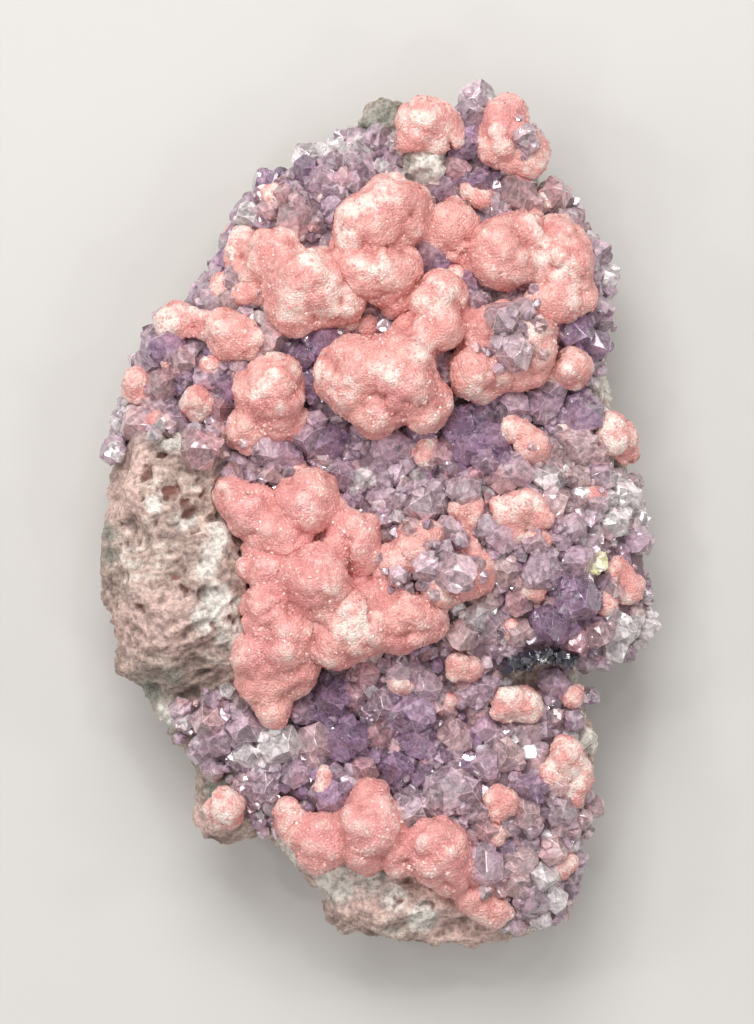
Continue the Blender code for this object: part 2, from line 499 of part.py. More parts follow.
def fused(lumps, rough, voxel_mm, smooth, triangle_mm2):
    """Lumps grown together into one rounded body, with few triangles."""
    bm = bmesh.new()
    for x, y, z, rx, ry, rz in lumps:
        add_lump(bm, (x, y, z), (rx, ry, rz), rough, 4)
    body = with_modifiers(
        mesh_of(bm),
        ("REMESH", {"mode": "VOXEL", "voxel_size": voxel_mm * MM}),
        ("SMOOTH", {"factor": 0.5, "iterations": smooth}),
        ("TRIANGULATE", {}),
    )
    area = sum(face.area for face in body.polygons) / MM**2
    ratio = min(1.0, area / triangle_mm2 / len(body.polygons))
    return with_modifiers(body, ("DECIMATE", {"ratio": ratio}))


def with_triangles(mesh, count):
    """The mesh brought down to about this many triangles, or a few more where that tears it."""
    whole = mended(mesh)
    for extra in range(12):
        ratio = min(1.0, count * (1 + 0.03 * extra) / len(whole.polygons))
        made = with_modifiers(whole.copy(), ("DECIMATE", {"ratio": ratio}))
        if is_closed(made):
            return made
    return whole


def rock_body():
    """The slab with its lumps joined on."""
    rock = rock_slab()
    for lumps in ROCK_LUMPS.values():
        rock = boolean(rock, fused(lumps, 2.6, 1.0, 1, ROCK_TRIANGLE), "UNION")
    return level_foot(with_triangles(rock, ROCK_TRIANGLES))


def pitted(rock):
    """The rock with its weathered pits cut."""
    tree = surface_tree(rock)
    pits = []
    for x, y, radius in ROCK_PITS:
        place, normal = on_surface(tree, x, y)
        bm = bmesh.new()
        middle = place / MM + normal * (0.15 * radius)
        add_lump(bm, middle, (radius, radius * 0.85, radius * 1.1), 0.3, 1)
        pits.append(mesh_of(bm))
    for group in spread_out(pits):
        rock = boolean(rock, group, "DIFFERENCE")
    return largest_body(rock)


def level_foot(mesh):
    """The mesh cut off flat at height 0, where a lump hangs below the slab's back."""
    bm = bmesh.new()
    size = Matrix.Diagonal((200, 200, 40, 1))
    bmesh.ops.create_cube(bm, size=MM, matrix=Matrix.Translation((0, 0, -20 * MM)) @ size)
    return boolean(mesh, mesh_of(bm), "DIFFERENCE")


def prism(outline, low, high):
    """An upright prism over the outline, in millimetres."""
    bm = bmesh.new()
    ends = [[bm.verts.new(Vector((x, y, z)) * MM) for x, y in outline] for z in (low, high)]
    bm.faces.new(ends[0])
    bm.faces.new(ends[1])
    for i in range(len(outline)):
        bm.faces.new((ends[0][i - 1], ends[0][i], ends[1][i], ends[1][i - 1]))
    return mesh_of(bm)


def druse_sheet(rock):
    """The crust under the crystals: a layer that follows the rock's front."""
    layer = boolean(grown(rock, DRUSE_THICKNESS), prism(DRUSE_OUTLINE, DRUSE_LOWEST, SKY), "INTERSECT")
    return largest_body(boolean(layer, grown(rock, CRYSTAL_GAP), "DIFFERENCE"))


def add_crystal(bm, head, direction, width, length, spin, uneven):
    """A six-sided quartz prism with a pyramid of uneven faces, its tip along direction."""
    turn = direction.to_track_quat("Z", "Y").to_matrix() @ Matrix.Rotation(spin, 3, "Z")
    radius = width / 2
    shoulder = length - radius * 1.05
    rings = []
    for level in (0.0, 1.0):
        ring = []
        for i in range(6):
            angle = math.radians(60 * i)
            reach = radius * (1 + 0.12 * uneven[i])
            height = level * (shoulder + radius * 0.22 * uneven[(i + 2) % 6])
            local = Vector((math.cos(angle) * reach, math.sin(angle) * reach, height - length))
            ring.append(bm.verts.new((head + turn @ local) * MM))
        rings.append(ring)
    off = Vector((uneven[0] * radius * 0.16, uneven[3] * radius * 0.16, 0))
    tip = bm.verts.new((head + turn @ off) * MM)
    bm.faces.new(rings[0])
    for i in range(6):
        bm.faces.new((rings[0][i - 1], rings[0][i], rings[1][i], rings[1][i - 1]))
        bm.faces.new((rings[1][i - 1], rings[1][i], tip))


def crystal_frame(tree, x, y, width, lean, dice):
    """Where a crystal's tip is, the way it points, its spin and how uneven its faces are."""
    place, normal = on_surface(tree, x - lean.x * width * 0.4, y - lean.y * width * 0.4)
    wobble = Vector((dice.uniform(-0.22, 0.22), dice.uniform(-0.22, 0.22), 0))
    upward = normal.lerp(Vector((0, 0, 1)), 0.6)
    direction = (upward + Vector((lean.x, lean.y, 0)) * 1.1 + wobble).normalized()
    uneven = [dice.uniform(-1, 1) for _ in range(6)]
    return place / MM, direction, dice.uniform(0, math.pi / 3), uneven


def joined(meshes):
    """Several meshes as one, with no Boolean between them."""
    bm = bmesh.new()
    for mesh in meshes:
        bm.from_mesh(mesh)
    return mesh_of(bm)


def spread_out(meshes):
    """The meshes in a few groups, each joined as one, with none near another of its group."""
    groups = []
    for mesh in meshes:
        free = [group for group in groups if not any(near(mesh, other) for other in group)]
        if not free:
            groups.append([mesh])
        else:
            free[0].append(mesh)
    return [joined(group) for group in groups]


def amethyst_druse(rock, sheet, neighbours):
    """The crust with its crystals, cut back from the minerals that touch them."""
    dice = random.Random(5)
    tree = surface_tree(sheet)
    cover = surface_tree(*neighbours)
    crystals = []
    for x, y, shown, lean_x, lean_y in AMETHYST:
        width = shown * CRYSTAL_WIDTH
        lean = Vector((lean_x, lean_y))
        place, direction, spin, uneven = crystal_frame(tree, x, y, width, lean, dice)
        if cover.ray_cast(place * MM, Vector((0, 0, 1)))[0]:
            continue  # another mineral has grown right over this one
        out = width * 0.68
        bm = bmesh.new()
        add_crystal(bm, place + direction * out, direction, width, out + width * 0.5, spin, uneven)
        crystals.append(mesh_of(bm))
    root_cutter = grown(rock, DRUSE_THICKNESS / 2)  # each crystal's root ends inside the crust
    druse = sheet
    for group in spread_out(crystals):
        druse = boolean(druse, boolean(group, root_cutter, "DIFFERENCE"), "UNION")
    for cutter in spread_out([grown(mesh, CRYSTAL_GAP) for mesh in neighbours]):
        druse = boolean(druse, cutter, "DIFFERENCE")
    remesh = {"mode": "VOXEL", "voxel_size": DRUSE_VOXEL * MM}
    druse = with_triangles(with_modifiers(druse, ("REMESH", remesh)), DRUSE_TRIANGLES)
    druse = largest_body(druse)
    for cutter in spread_out([grown(mesh, LEAST_GAP) for mesh in (rock, *neighbours)]):
        druse = boolean(druse, cutter, "DIFFERENCE")
    return largest_body(druse)


def rhodochrosite(name, rock_tree):
    """One cluster's lobes, set on the rock and grown together."""
    lumps = []
    for x, y, lift, radius in RHODOCHROSITE[name]:
        place, _ = on_surface(rock_tree, x, y)
        z = place.z / MM + DRUSE_THICKNESS * 0.6 + lift * LUMP_LIFT
        lumps.append((x, y, z, radius, radius, radius))
        if lift > 3:  # a high lobe stands on a root, and doesn't float over the crust
            lumps.append((x, y, z - radius * 0.8, radius * 0.72, radius * 0.72, radius))
    return fused(lumps, 0.7, 0.8, 3, LOBE_TRIANGLE)


def late_crystals(name, tree):
    """A group of later crystals, standing on the rhodochrosite."""
    dice = random.Random(name)
    group = None
    for x, y, width, stretch, lean_x, lean_y in LATE_CRYSTALS[name]:
        lean = Vector((lean_x, lean_y))
        place, direction, spin, uneven = crystal_frame(tree, x, y, width, lean, dice)
        out = width * 0.75 * stretch
        bm = bmesh.new()
        add_crystal(bm, place + direction * out, direction, width, out + width * 0.5, spin, uneven)
        group = boolean(group, mesh_of(bm), "UNION") if group else mesh_of(bm)
    return group


def blocks(rows, tree):
    """Small square crystals grown together, set on the front."""
    group = None
    for x, y, width, turn in rows:
        place, normal = on_surface(tree, x, y)
        pose = Matrix.Translation(place + normal * (0.3 * width * MM))
        pose @= Matrix.Rotation(math.radians(turn), 4, "Z") @ Matrix.Rotation(0.5, 4, "X")
        bm = bmesh.new()
        bmesh.ops.create_cube(bm, size=MM, matrix=pose @ Matrix.Diagonal((width, width, width, 1)))
        group = boolean(group, mesh_of(bm), "UNION") if group else mesh_of(bm)
    return group


def box_of(mesh):
    points = [vert.co for vert in mesh.vertices]
    return [(min(p[i] for p in points), max(p[i] for p in points)) for i in range(3)]


def near(mesh, other):
    """Whether two meshes' boxes come closer than the gap."""
    margin = GAP * MM
    return all(
        low - margin < high2 and low2 - margin < high
        for (low, high), (low2, high2) in zip(box_of(mesh), box_of(other))
    )


def cut_back(mesh, others, kept_share=1.0):
    """The mesh cut back, by the gap, from each of the others that it meets, and simplified."""
    for other in others:
        if near(mesh, other):
            for distance in (GAP, GAP / 2):  # the second mends where the first folds over itself
                mesh = boolean(mesh, grown(other, distance), "DIFFERENCE")
    mesh = largest_body(mesh)
    return largest_body(with_triangles(mesh, kept_share * len(mesh.polygons)))


def build():
    clear_scene()
    body = rock_body()
    sheet = druse_sheet(body)
    rock = pitted(body)
    rock_tree = surface_tree(body)
    pieces, whole = {}, []
    for name in RHODOCHROSITE:
        lump = rhodochrosite(name, rock_tree)
        pieces["rhodochrosite_" + name] = cut_back(lump, [body, sheet, *whole], KEPT_SHARE)
        whole.append(lump)
    pink_tree = surface_tree(body, sheet, *pieces.values())
    later = {name: late_crystals(name, pink_tree) for name in LATE_CRYSTALS}
    later["sphalerite_seam"] = blocks(SPHALERITE, pink_tree)
    later["calcite_fleck"] = blocks(CALCITE, pink_tree)
    for name, shape in later.items():
        pieces[name] = cut_back(shape, [body, sheet, *pieces.values()])
    pieces["amethyst_druse"] = amethyst_druse(body, sheet, list(pieces.values()))
    pieces["host_rock"] = rock
    for name, mesh in pieces.items():
        add_piece(name, mesh)


build()
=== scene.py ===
"""Looks of a rhodochrosite and amethyst specimen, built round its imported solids.

+Z points out of the crystal-covered front, +Y to the specimen's top and +X to its right.
"""
import math
import random
from functools import partial

import bmesh
import bpy
import numpy as np
from mathutils import Matrix, Vector
from mathutils.bvhtree import BVHTree

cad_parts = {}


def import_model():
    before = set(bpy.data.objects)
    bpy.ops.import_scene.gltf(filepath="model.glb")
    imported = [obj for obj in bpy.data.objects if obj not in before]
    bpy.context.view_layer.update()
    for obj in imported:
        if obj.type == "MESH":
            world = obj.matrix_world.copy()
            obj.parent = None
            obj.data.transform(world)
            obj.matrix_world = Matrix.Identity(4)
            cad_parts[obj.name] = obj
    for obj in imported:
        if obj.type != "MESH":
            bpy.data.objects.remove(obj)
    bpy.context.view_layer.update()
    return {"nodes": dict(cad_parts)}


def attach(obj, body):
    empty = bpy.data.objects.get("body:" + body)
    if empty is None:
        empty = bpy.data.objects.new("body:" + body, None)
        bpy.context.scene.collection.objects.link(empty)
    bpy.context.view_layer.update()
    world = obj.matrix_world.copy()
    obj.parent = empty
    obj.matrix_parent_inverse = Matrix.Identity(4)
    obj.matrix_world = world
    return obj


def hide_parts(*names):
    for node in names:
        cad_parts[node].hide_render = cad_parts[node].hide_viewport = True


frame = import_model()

MM = 0.001  # the places and sizes below are millimetres on the specimen
MIDDLE = (-0.2, 0.3)  # where the frame's origin is, in those places
DRUSE_THICKNESS = 2.3  # the quartz crust that the amethyst stands on
CRYSTAL_WIDTH = 1.3  # a whole crystal's width over the width of what shows of it
FRONT_BASE = 20.0  # height of the rock's front at its rim
WIDEST_HEIGHT = 12.0  # where the rock is as wide as its outline
SKY = 90.0  # a height above everything
UP, DOWN = Vector((0, 0, 1)), Vector((0, 0, -1))

# Crystals are cut at width 1 and then scaled.
EDGE_WIDTH = 0.011  # of the worn edges
EDGE_HIGHLIGHT = 0.95  # painted highlight: the worn edge faces are drawn brighter than most faces, as edges that catch the light
SIDE_FACE = 0.433  # from the middle of the prism to a side
END_FACE = (0.786, 0.618)  # an end face of quartz leans 38 degrees from the crystal's length
ROOT_FACE = (0.6, -0.8)  # and a crystal is drawn narrower again at its root
BLANK_SIZE = 8.0  # the block that they are cut from
GOLDEN_ANGLE = 2.399963  # spreads faces evenly round a grain
LEAN_SHIFT = 0.4  # a leaning crystal's foot lies back from its middle by this share of its width
# How far a crystal's tip stands out of what carries it, in its own widths.
RISE = {"large": 0.68, "small": 0.62, "sprinkled": 0.45, "late": 0.75, "beside": 0.6}
USUAL_TONE = 0.45  # of the druse between the regions listed below

ROCK_VOXEL = 0.61  # grid of the rock's skin
ROCK_SMOOTHING = 12
LUMP_VOXEL = 0.46  # and of the rhodochrosite's
LUMP_SMOOTHING = 14
SMALL_CRYSTAL_TRIES = 6000
SMALL_WIDTHS = (1.4, 1.8, 2.4, 3.0, 3.6, 4.4)
LOWEST_CRYSTAL = 14.5  # the height where the crust ends on the rock's side
SUGAR_GRAINS = 13000
SUGAR_WIDTH = (0.18, 0.4)  # coarser than the real frosting, so that it shows
PICTURE_MM = 1024 / 5.8  # the photograph is 1024 pixels high, at 5.8 to a millimetre
CAMERA_HEIGHT = 1.0  # metres
CAMERA_AIM = (0.4, 1.2, 28.0)
SENSOR = 36.0

# Where the amethyst crust reaches, clockwise from the top.
DRUSE_OUTLINE = [
    (13, 71), (17, 76), (20.5, 76), (22, 70), (30, 66), (33.5, 58), (32, 53.5), (36, 49.5), (40, 47),
    (42, 40), (38.5, 36), (38.5, 24), (40, 20), (38, 12), (50, 9), (50, -26), (36, -25),
    (35, -30), (33.5, -38), (36, -44), (32.8, -60), (31.5, -68.5), (24, -69.5), (17, -62),
    (14.5, -53), (4, -52), (-6, -51), (-14, -51), (-19, -53), (-22, -47), (-33.5, -36),
    (-33, -31), (-20, -28), (-19, 6), (-27, 9), (-32, 14), (-36, 15), (-46, 11), (-46, 22),
    (-43, 31), (-39, 38), (-31, 39), (-27, 46), (-28, 53), (-20, 62), (-17, 66), (-6, 67),
    (-3, 66.5), (0, 68), (3.5, 67.5), (4.5, 58), (12, 58),
]

# Amethyst crystals of the crust: x, y, width across the prism, and which way the tip leans.
AMETHYST = [
    # upper left
    (-13, 62.5, 4.4, -0.7, 0.25), (-9.4, 63.6, 3.6, -0.1, 0.5), (-7.4, 61.6, 3.8, 0.2, 0.3),
    (-12.3, 59.8, 3.6, -0.2, -0.1), (-9, 57.6, 4.4, 0, 0), (-4.4, 62.4, 4.0, 0, 0.3),
    (-1.6, 61, 4.4, 0.2, 0.1), (-2.6, 57.8, 3.8, 0, 0.1), (1.2, 66.2, 4.6, 0.1, 0.3),
    (-2.4, 65.2, 3.6, -0.3, 0.3), (-17.6, 58.2, 4.8, -0.2, 0.5), (-14.4, 54.8, 4.2, 0.1, -0.2),
    (-18.2, 52.6, 4.2, -0.2, 0), (-22.2, 52, 4.4, -0.6, 0.1), (-12.6, 50.8, 6.2, 0, -0.1),
    (-7.2, 52.8, 4.4, 0, 0.1), (-8.4, 48, 5.8, -0.5, -0.25), (-5.4, 57.6, 4.0, 0.1, -0.1),
    (-23.4, 41, 4.8, -0.1, 0), (-19.4, 38.6, 3.6, 0, 0), (-28, 38, 4.4, -0.2, 0.3),
    (-24.2, 36.8, 4.0, 0, -0.1),
    # left
    (-27, 30.4, 4.4, 0, 0), (-17, 31.4, 5.6, 0.35, 0), (-8.6, 31.6, 5.0, 0, 0.2),
    (-13, 28, 4.4, -0.1, 0), (-10.6, 23.4, 4.6, 0.1, 0), (-34.6, 29.6, 5.8, 0, 0.1),
    (-32, 26.6, 4.6, 0.1, -0.1), (-38.8, 27.6, 4.8, -0.4, 0.2), (-25, 22.4, 4.8, 0, 0),
    (-26.6, 18.4, 4.0, -0.1, -0.2), (-35.4, 23, 5.0, 0.1, 0), (-40.6, 16.6, 5.4, -0.3, 0.1),
    (-33.4, 17, 4.0, 0.1, 0), (-29, 24.6, 4.0, 0, 0.1), (-27.6, 10.4, 5.6, 0.6, -0.2),
    (-19.6, 11.6, 5.0, 0.1, -0.2), (-16, 11, 4.8, 0.2, 0), (-21.8, 7, 3.2, 0, -0.2),
    # between the middle lumps
    (-12, 15.4, 6.8, -0.2, 0), (-7, 14.4, 6.4, 0.4, 0.15), (-9, 10, 4.2, 0.1, -0.3),
    (-5.2, 6.6, 4.4, 0, 0), (-5, 2.2, 3.4, 0, -0.2), (2, 13, 6.0, -0.3, 0), (7.8, 15.6, 4.6, 0, 0.1),
    (10.6, 11.2, 4.4, 0.1, -0.1), (13, 16.4, 5.6, -0.1, 0.1), (17.6, 17.4, 5.2, 0.1, 0.1),
    (15, 12.4, 5.4, 0, 0), (20.2, 13, 5.6, 0.1, -0.1), (18.6, 9.4, 4.6, 0, -0.2),
    (34.4, 19, 6.4, 0, 0.3), (28.6, 19.4, 5.2, 0, 0), (23.6, 20, 5.2, 0, 0), (11, 24, 4.0, 0, 0),
    (34, 12, 6.2, 0, -0.1), (37.4, 11.4, 4.6, 0.2, -0.1), (30.4, 23, 4.4, 0, 0.1),
    (38, 29.6, 4.6, 0.4, -0.3), (34, 32.4, 6.2, 0.35, -0.1), (37.4, 36.4, 4.6, 0.3, 0),
    # upper right
    (18, 73.4, 4.8, 0.2, 0.6), (16, 70, 5.4, -0.1, 0.2), (16.2, 65.4, 5.8, 0, 0),
    (19.2, 62.4, 4.2, 0, -0.1), (11.6, 57, 5.0, 0.1, 0.2), (14, 60.6, 4.2, 0, 0),
    (17.6, 57.6, 4.6, 0, 0), (24, 56, 5.8, 0, 0.1), (30.6, 56, 4.8, 0.3, 0.1),
    (27, 53.8, 4.0, 0.1, 0), (8, 46, 6.6, 0, 0), (12.4, 43.2, 4.2, 0.1, -0.2),
    (15.6, 40.4, 4.8, 0, 0), (17, 50.4, 3.8, 0, 0), (26.2, 42.4, 5.0, 0, 0.1),
    (37, 46, 4.0, 0.4, 0.2), (38.6, 41.2, 4.0, 0.4, 0), (-1.6, 36.4, 4.4, 0, 0), (17, 37.4, 4.4, 0, 0.1),
    # right field
    (24.6, 8.4, 5.2, 0, 0.1), (21.4, 6.2, 4.2, -0.1, 0), (22, 10.8, 3.6, 0, 0.2),
    (29.6, 7, 4.8, 0.1, 0.1), (33.6, 6.6, 3.8, 0, 0), (31.4, 2.6, 4.8, 0.4, -0.1),
    (38, 7, 4.8, 0.2, 0.2), (42.6, 4.4, 4.8, 0.4, 0.1), (36.4, 2.4, 4.2, 0, 0),
    (40.4, -0.6, 4.6, 0.2, 0), (44.6, -3.6, 4.4, 0.5, 0), (33.4, -1.6, 4.6, 0, 0),
    (22, -3.2, 4.8, 0.1, 0.1), (18.4, -0.6, 4.2, -0.1, 0.2), (27.4, -4, 4.4, 0, 0),
    (22, -8.2, 4.6, 0, 0), (28.2, -8.6, 5.8, 0, 0), (33, -7, 5.0, 0, 0.1), (37.6, -5.6, 4.6, 0, 0),
    (39.6, -12.4, 4.2, 0, -0.1), (34.6, -13.4, 6.8, 0.1, -0.1), (29.4, -17.4, 6.4, -0.1, -0.3),
    (24.6, -13.4, 4.6, 0, 0), (19, -13, 4.2, 0, -0.1), (16.4, -16.4, 4.6, -0.1, 0),
    (20, -18, 4.8, 0.1, 0), (15, -20.6, 4.8, 0, -0.4), (24.4, -19, 4.6, 0, -0.2),
    (37.6, -18.6, 5.0, 0.1, -0.2), (42.6, -18, 4.4, 0.3, 0), (45.4, -18, 3.8, 0.4, 0.2),
    (41, -22, 4.4, 0.2, -0.5), (34.4, -20.6, 4.6, 0, -0.4),
    # lower band
    (-8.6, -30, 6.0, -0.2, 0.1), (-3.8, -29.4, 4.2, 0.1, 0), (-13, -32.4, 4.0, 0, 0),
    (-17, -39, 6.2, 0, -0.1), (-22.4, -35.4, 5.0, 0, 0.1), (-28.4, -34, 4.8, -0.1, 0.1),
    (-27, -38, 4.2, -0.2, 0), (-22.2, -40.4, 4.2, -0.1, -0.1), (-5.2, -38.2, 6.8, 0, 0.1),
    (-11, -38.4, 6.0, 0, 0), (-7, -47.8, 5.8, 0, 0), (-14, -44.6, 4.4, 0.1, -0.1),
    (-19, -45, 4.2, -0.1, 0), (-2, -43.8, 4.6, 0, 0), (0.8, -37.6, 4.2, 0, 0), (3.4, -43, 4.8, 0, 0),
    (6.6, -32.6, 6.8, 0, 0), (1.4, -31, 4.8, 0, 0), (13.4, -38.4, 5.4, 0, 0),
    (7.6, -38.6, 5.4, 0.1, 0), (11.6, -46.6, 6.8, -0.2, 0.1), (16.4, -47.4, 5.4, 0.2, 0),
    (5.6, -50.4, 5.8, 0, 0), (18.4, -35.4, 4.2, 0, 0), (22.6, -41.6, 5.2, 0, 0),
    (18.6, -42.6, 4.4, -0.2, 0), (26.4, -37.4, 4.8, 0, 0.1), (19, -28, 4.2, 0, 0),
    (15.2, -29, 4.0, 0, 0), (8.8, -27.6, 4.8, 0, 0), (4.2, -25.6, 4.4, 0, 0), (-1, -25.6, 4.2, 0, 0),
    (30.6, -28, 4.6, 0.1, 0),
    # lower right corner
    (26.2, -47.2, 5.0, 0, 0), (25.6, -51.4, 4.8, 0, -0.1), (30.4, -46, 4.4, 0.1, 0),
    (31, -50.6, 4.8, 0.1, 0), (20, -53.4, 4.2, 0, 0), (18.6, -58.6, 6.2, -0.1, 0),
    (24, -57.4, 5.4, -0.1, 0.1), (29.6, -56.6, 4.8, 0.1, 0), (23.6, -62, 4.8, 0, 0),
    (28.2, -61.4, 5.0, 0.1, 0), (27, -66, 5.2, 0.1, -0.2), (31, -65.4, 4.0, 0.3, -0.1),
]

# Later, paler quartz crystals on the rhodochrosite: x, y, width, length over width, lean.
LATE_CRYSTALS = {
    "pale_quartz_middle": [
        (7, 2.6, 6.4, 1.25, -0.75, 0.05), (11.4, 2.4, 5.2, 1.0, 0.2, 0), (15.4, 5, 5.8, 1.0, 0, 0.1),
        (10.4, 5.6, 4.2, 1.0, 0.1, 0.2), (12.2, -1.4, 4.8, 1.0, -0.1, 0), (11.6, -5, 4.8, 1.0, 0.1, 0.2),
        (8.6, -7.6, 6.4, 1.1, -0.3, 0.1), (14.4, -9, 7.0, 1.35, 0.7, -0.2),
        (3.8, -9.4, 3.6, 1.0, 0, -0.1),
    ],
    "lilac_quartz_centre_right": [
        (21.4, 35.2, 6.2, 1.0, -0.1, 0.3), (25.8, 36.6, 4.8, 1.0, 0.2, 0.3),
        (24.2, 28.6, 6.8, 1.1, 0.05, -0.2), (21.2, 30.6, 4.2, 1.0, -0.1, 0),
    ],
    "lilac_quartz_crown": [(26.2, 66.6, 4.4, 1.0, 0.4, 0.1), (27, 64.6, 3.2, 1.0, 0.4, -0.1)],
}

# Regions of the druse with their own tone: x, y, radius, tone from 0 (clear) to 1 (deep purple).
TONES = [
    (17, 15, 9, 0.9), (32, -16, 8, 0.85), (-8, 31, 7, 0.9), (-12, 28, 5, 0.9), (-25, 21, 5, 0.85),
    (-34, 28, 7, 0.75), (-15, 56, 7, 0.6), (-9, 64, 5, 0.25), (17, 65, 6, 0.7), (17, 73, 5, 0.3),
    (23, 56, 6, 0.5), (10, 45, 5, 0.7), (25, 41, 5, 0.7), (34, 31, 5, 0.8), (38, 37, 4, 0.4),
    (34, 12, 6, 0.35), (34, 20, 4, 0.6), (-40, 17, 5, 0.3), (-10, 14, 8, 0.5), (-13, 49, 5, 0.4),
    (42, 4, 7, 0.1), (45, -18, 5, 0.1), (38, -7, 4, 0.3), (28, -8, 6, 0.45), (22, -5, 4, 0.3),
    (25, 6, 6, 0.4), (-17, -39, 3.6, 0.15), (-8, -30, 5, 0.7), (-4, -38, 6, 0.75), (-22, -36, 5, 0.5),
    (3, -34, 5, 0.8), (3, -42, 6, 0.8), (-12, -44, 5, 0.7), (14, -38, 5, 0.7), (-12, -34, 4, 0.8),
    (12, -46, 4, 0.2), (-7, -48, 5, 0.7), (5, -50, 4, 0.5), (8, -38, 7, 0.6), (22, -41, 4, 0.25),
    (26, -48, 6, 0.55), (19, -59, 5, 0.5), (24, -58, 4, 0.5), (28, -64, 6, 0.35), (7, -25, 5, 0.6),
]
# Where pink shines through the crystals: x, y, radius.
ROSE = [
    (20, -62, 8), (31, 7, 6), (-20, 40, 5), (-27, 12, 5), (-17, 54, 4), (43, -8, 4), (14, -24, 6),
    (2, -25, 5), (33, -50, 6), (26, -14, 5), (10, 14, 4), (-32, 30, 5), (20, 40, 5), (28, 52, 5),
    (-12, -28, 5), (-2, -52, 4), (22, 8, 5), (15, 56, 4), (10, -32, 4),
]
# Small rhodochrosite lobes between the others and among the crystals: x, y, radius.
SMALL_LOBES = [
    (7, -3, 2.6), (12.4, -2.6, 2.0), (16.8, -4.6, 2.0), (2, -7.2, 2.2), (31.4, -1.4, 1.9), (36, 3.4, 2.0),
    (28, -3, 1.8), (24, -2, 1.6), (42.6, -10.6, 2.2), (-40, 22.4, 2.6), (-37, 16.6, 2.2),
    (-23.6, 14.8, 2.4), (-5, -3.4, 2.8), (-9.2, -3.2, 2.8), (-2.9, -10.3, 2.8), (-19.6, -5, 2.8),
    (38, -14, 2.0), (27, -12, 2.0), (22.6, -17.6, 1.8), (31, 15.6, 1.3), (8, 12.6, 2.2),
    (12.5, -31.5, 1.8), (21, -54.5, 1.5), (-17, 55, 1.9),
    (-20.6, 38, 2.4), (-25.6, 40, 2.0), (17, 56, 2.0), (26.4, 53, 2.2), (28.6, 55, 1.6), (-24.6, 50, 1.6),
    (16, -25, 2.2), (4.6, -27, 2.0), (30, -44, 2.2), (33.5, -30.6, 2.0), (-9, -45, 1.6), (25, 8, 1.8),
    (14, 41.6, 2.0), (18.4, 42.4, 2.2), (-6, 33.6, 1.8), (-28.6, 27, 1.8), (-14, 8.4, 1.8), (-2, 33, 1.8),
    (31, -60, 2.0), (14.6, -58, 1.8), (-35, 27, 1.6),
]
# Rhodochrosite frosted nearly white, and rhodochrosite of a deeper pink: x, y, radius.
FROSTED = [
    (23, 2, 4), (28.4, 1.4, 4), (9, 68.6, 5), (-2.5, 55.5, 4), (-4.6, 48, 3.4), (-2, 43.6, 3),
    (30, 47.6, 4), (33.4, 43, 3.6), (-9, 27, 3.4), (-6, 22, 3), (-4, -17.6, 3.4), (11, 38.4, 3),
    (18, 24.6, 3), (40, 24, 4), (42, 13.6, 4), (-12, 44, 4), (-9, 39, 4), (-14, 38, 3), (7.6, 29.4, 2.4),
    (-17, 25.6, 3), (26, 63, 3), (4, 57, 3), (-20, 21, 2.4), (26, -31, 6), (35.5, -43, 5),
    (34.5, -48, 4), (-34, 34, 4), (-30, 20, 3),
    (37, -38, 4), (2, 25, 2.4), (-26, -50, 2.4), (24, 33, 3), (-24, 46, 3),
]
ROSY = [
    (-10, -3, 8), (-16, -12, 8), (-2, -8, 6), (0, -55, 8), (8, -56, 6), (-8, -54, 5), (15, -60, 6),
    (3, 22, 5), (-19, 20, 4), (22, 69, 4), (-22, 2, 5), (-13, 3, 5), (-20, -22, 6),
]
# Small clear crystals on the rhodochrosite: x, y and width.
SPRINKLED = [
    (2.4, 9.8, 3.0), (4.6, 6.4, 3.4), (9.4, 9.6, 2.6), (6.2, -1.2, 3.6), (2.6, -2.4, 2.8), (0.6, -6.6, 2.6),
    (15.2, -3.6, 3.4), (17.6, -7.2, 3.0), (5.4, -11.6, 3.0), (9.8, -12.4, 2.6), (13.4, 8.8, 3.2),
    (28.4, 33.6, 3.4), (18.8, 37.4, 3.0), (24.6, 32.6, 4.0), (17.4, 29.4, 2.6), (28.6, 28.6, 2.6),
    (22.4, -64.2, 2.8), (18.6, -63.8, 3.0), (24.6, -67.6, 2.6), (-22.6, 13.2, 2.4), (26.8, 12.6, 2.0),
]
# Bare rock that shows beside the crystals: x, y, radius.
BARE = [
    (-39, -31, 3.5), (-36, -35.5, 3.2), (-34, -40, 2.4), (-31, -44, 2.4), (-27.5, -48, 2.6),
    (26, -26.5, 3.5), (31, -27.5, 3), (36, -27, 3), (37.5, -38, 2.6), (40, 30, 2.6), (39.6, 37, 2.4),
    (40.4, 24, 3.4), (41, 19, 3), (43, 11, 3), (12, 62, 3), (27.6, 59, 2.2),
]
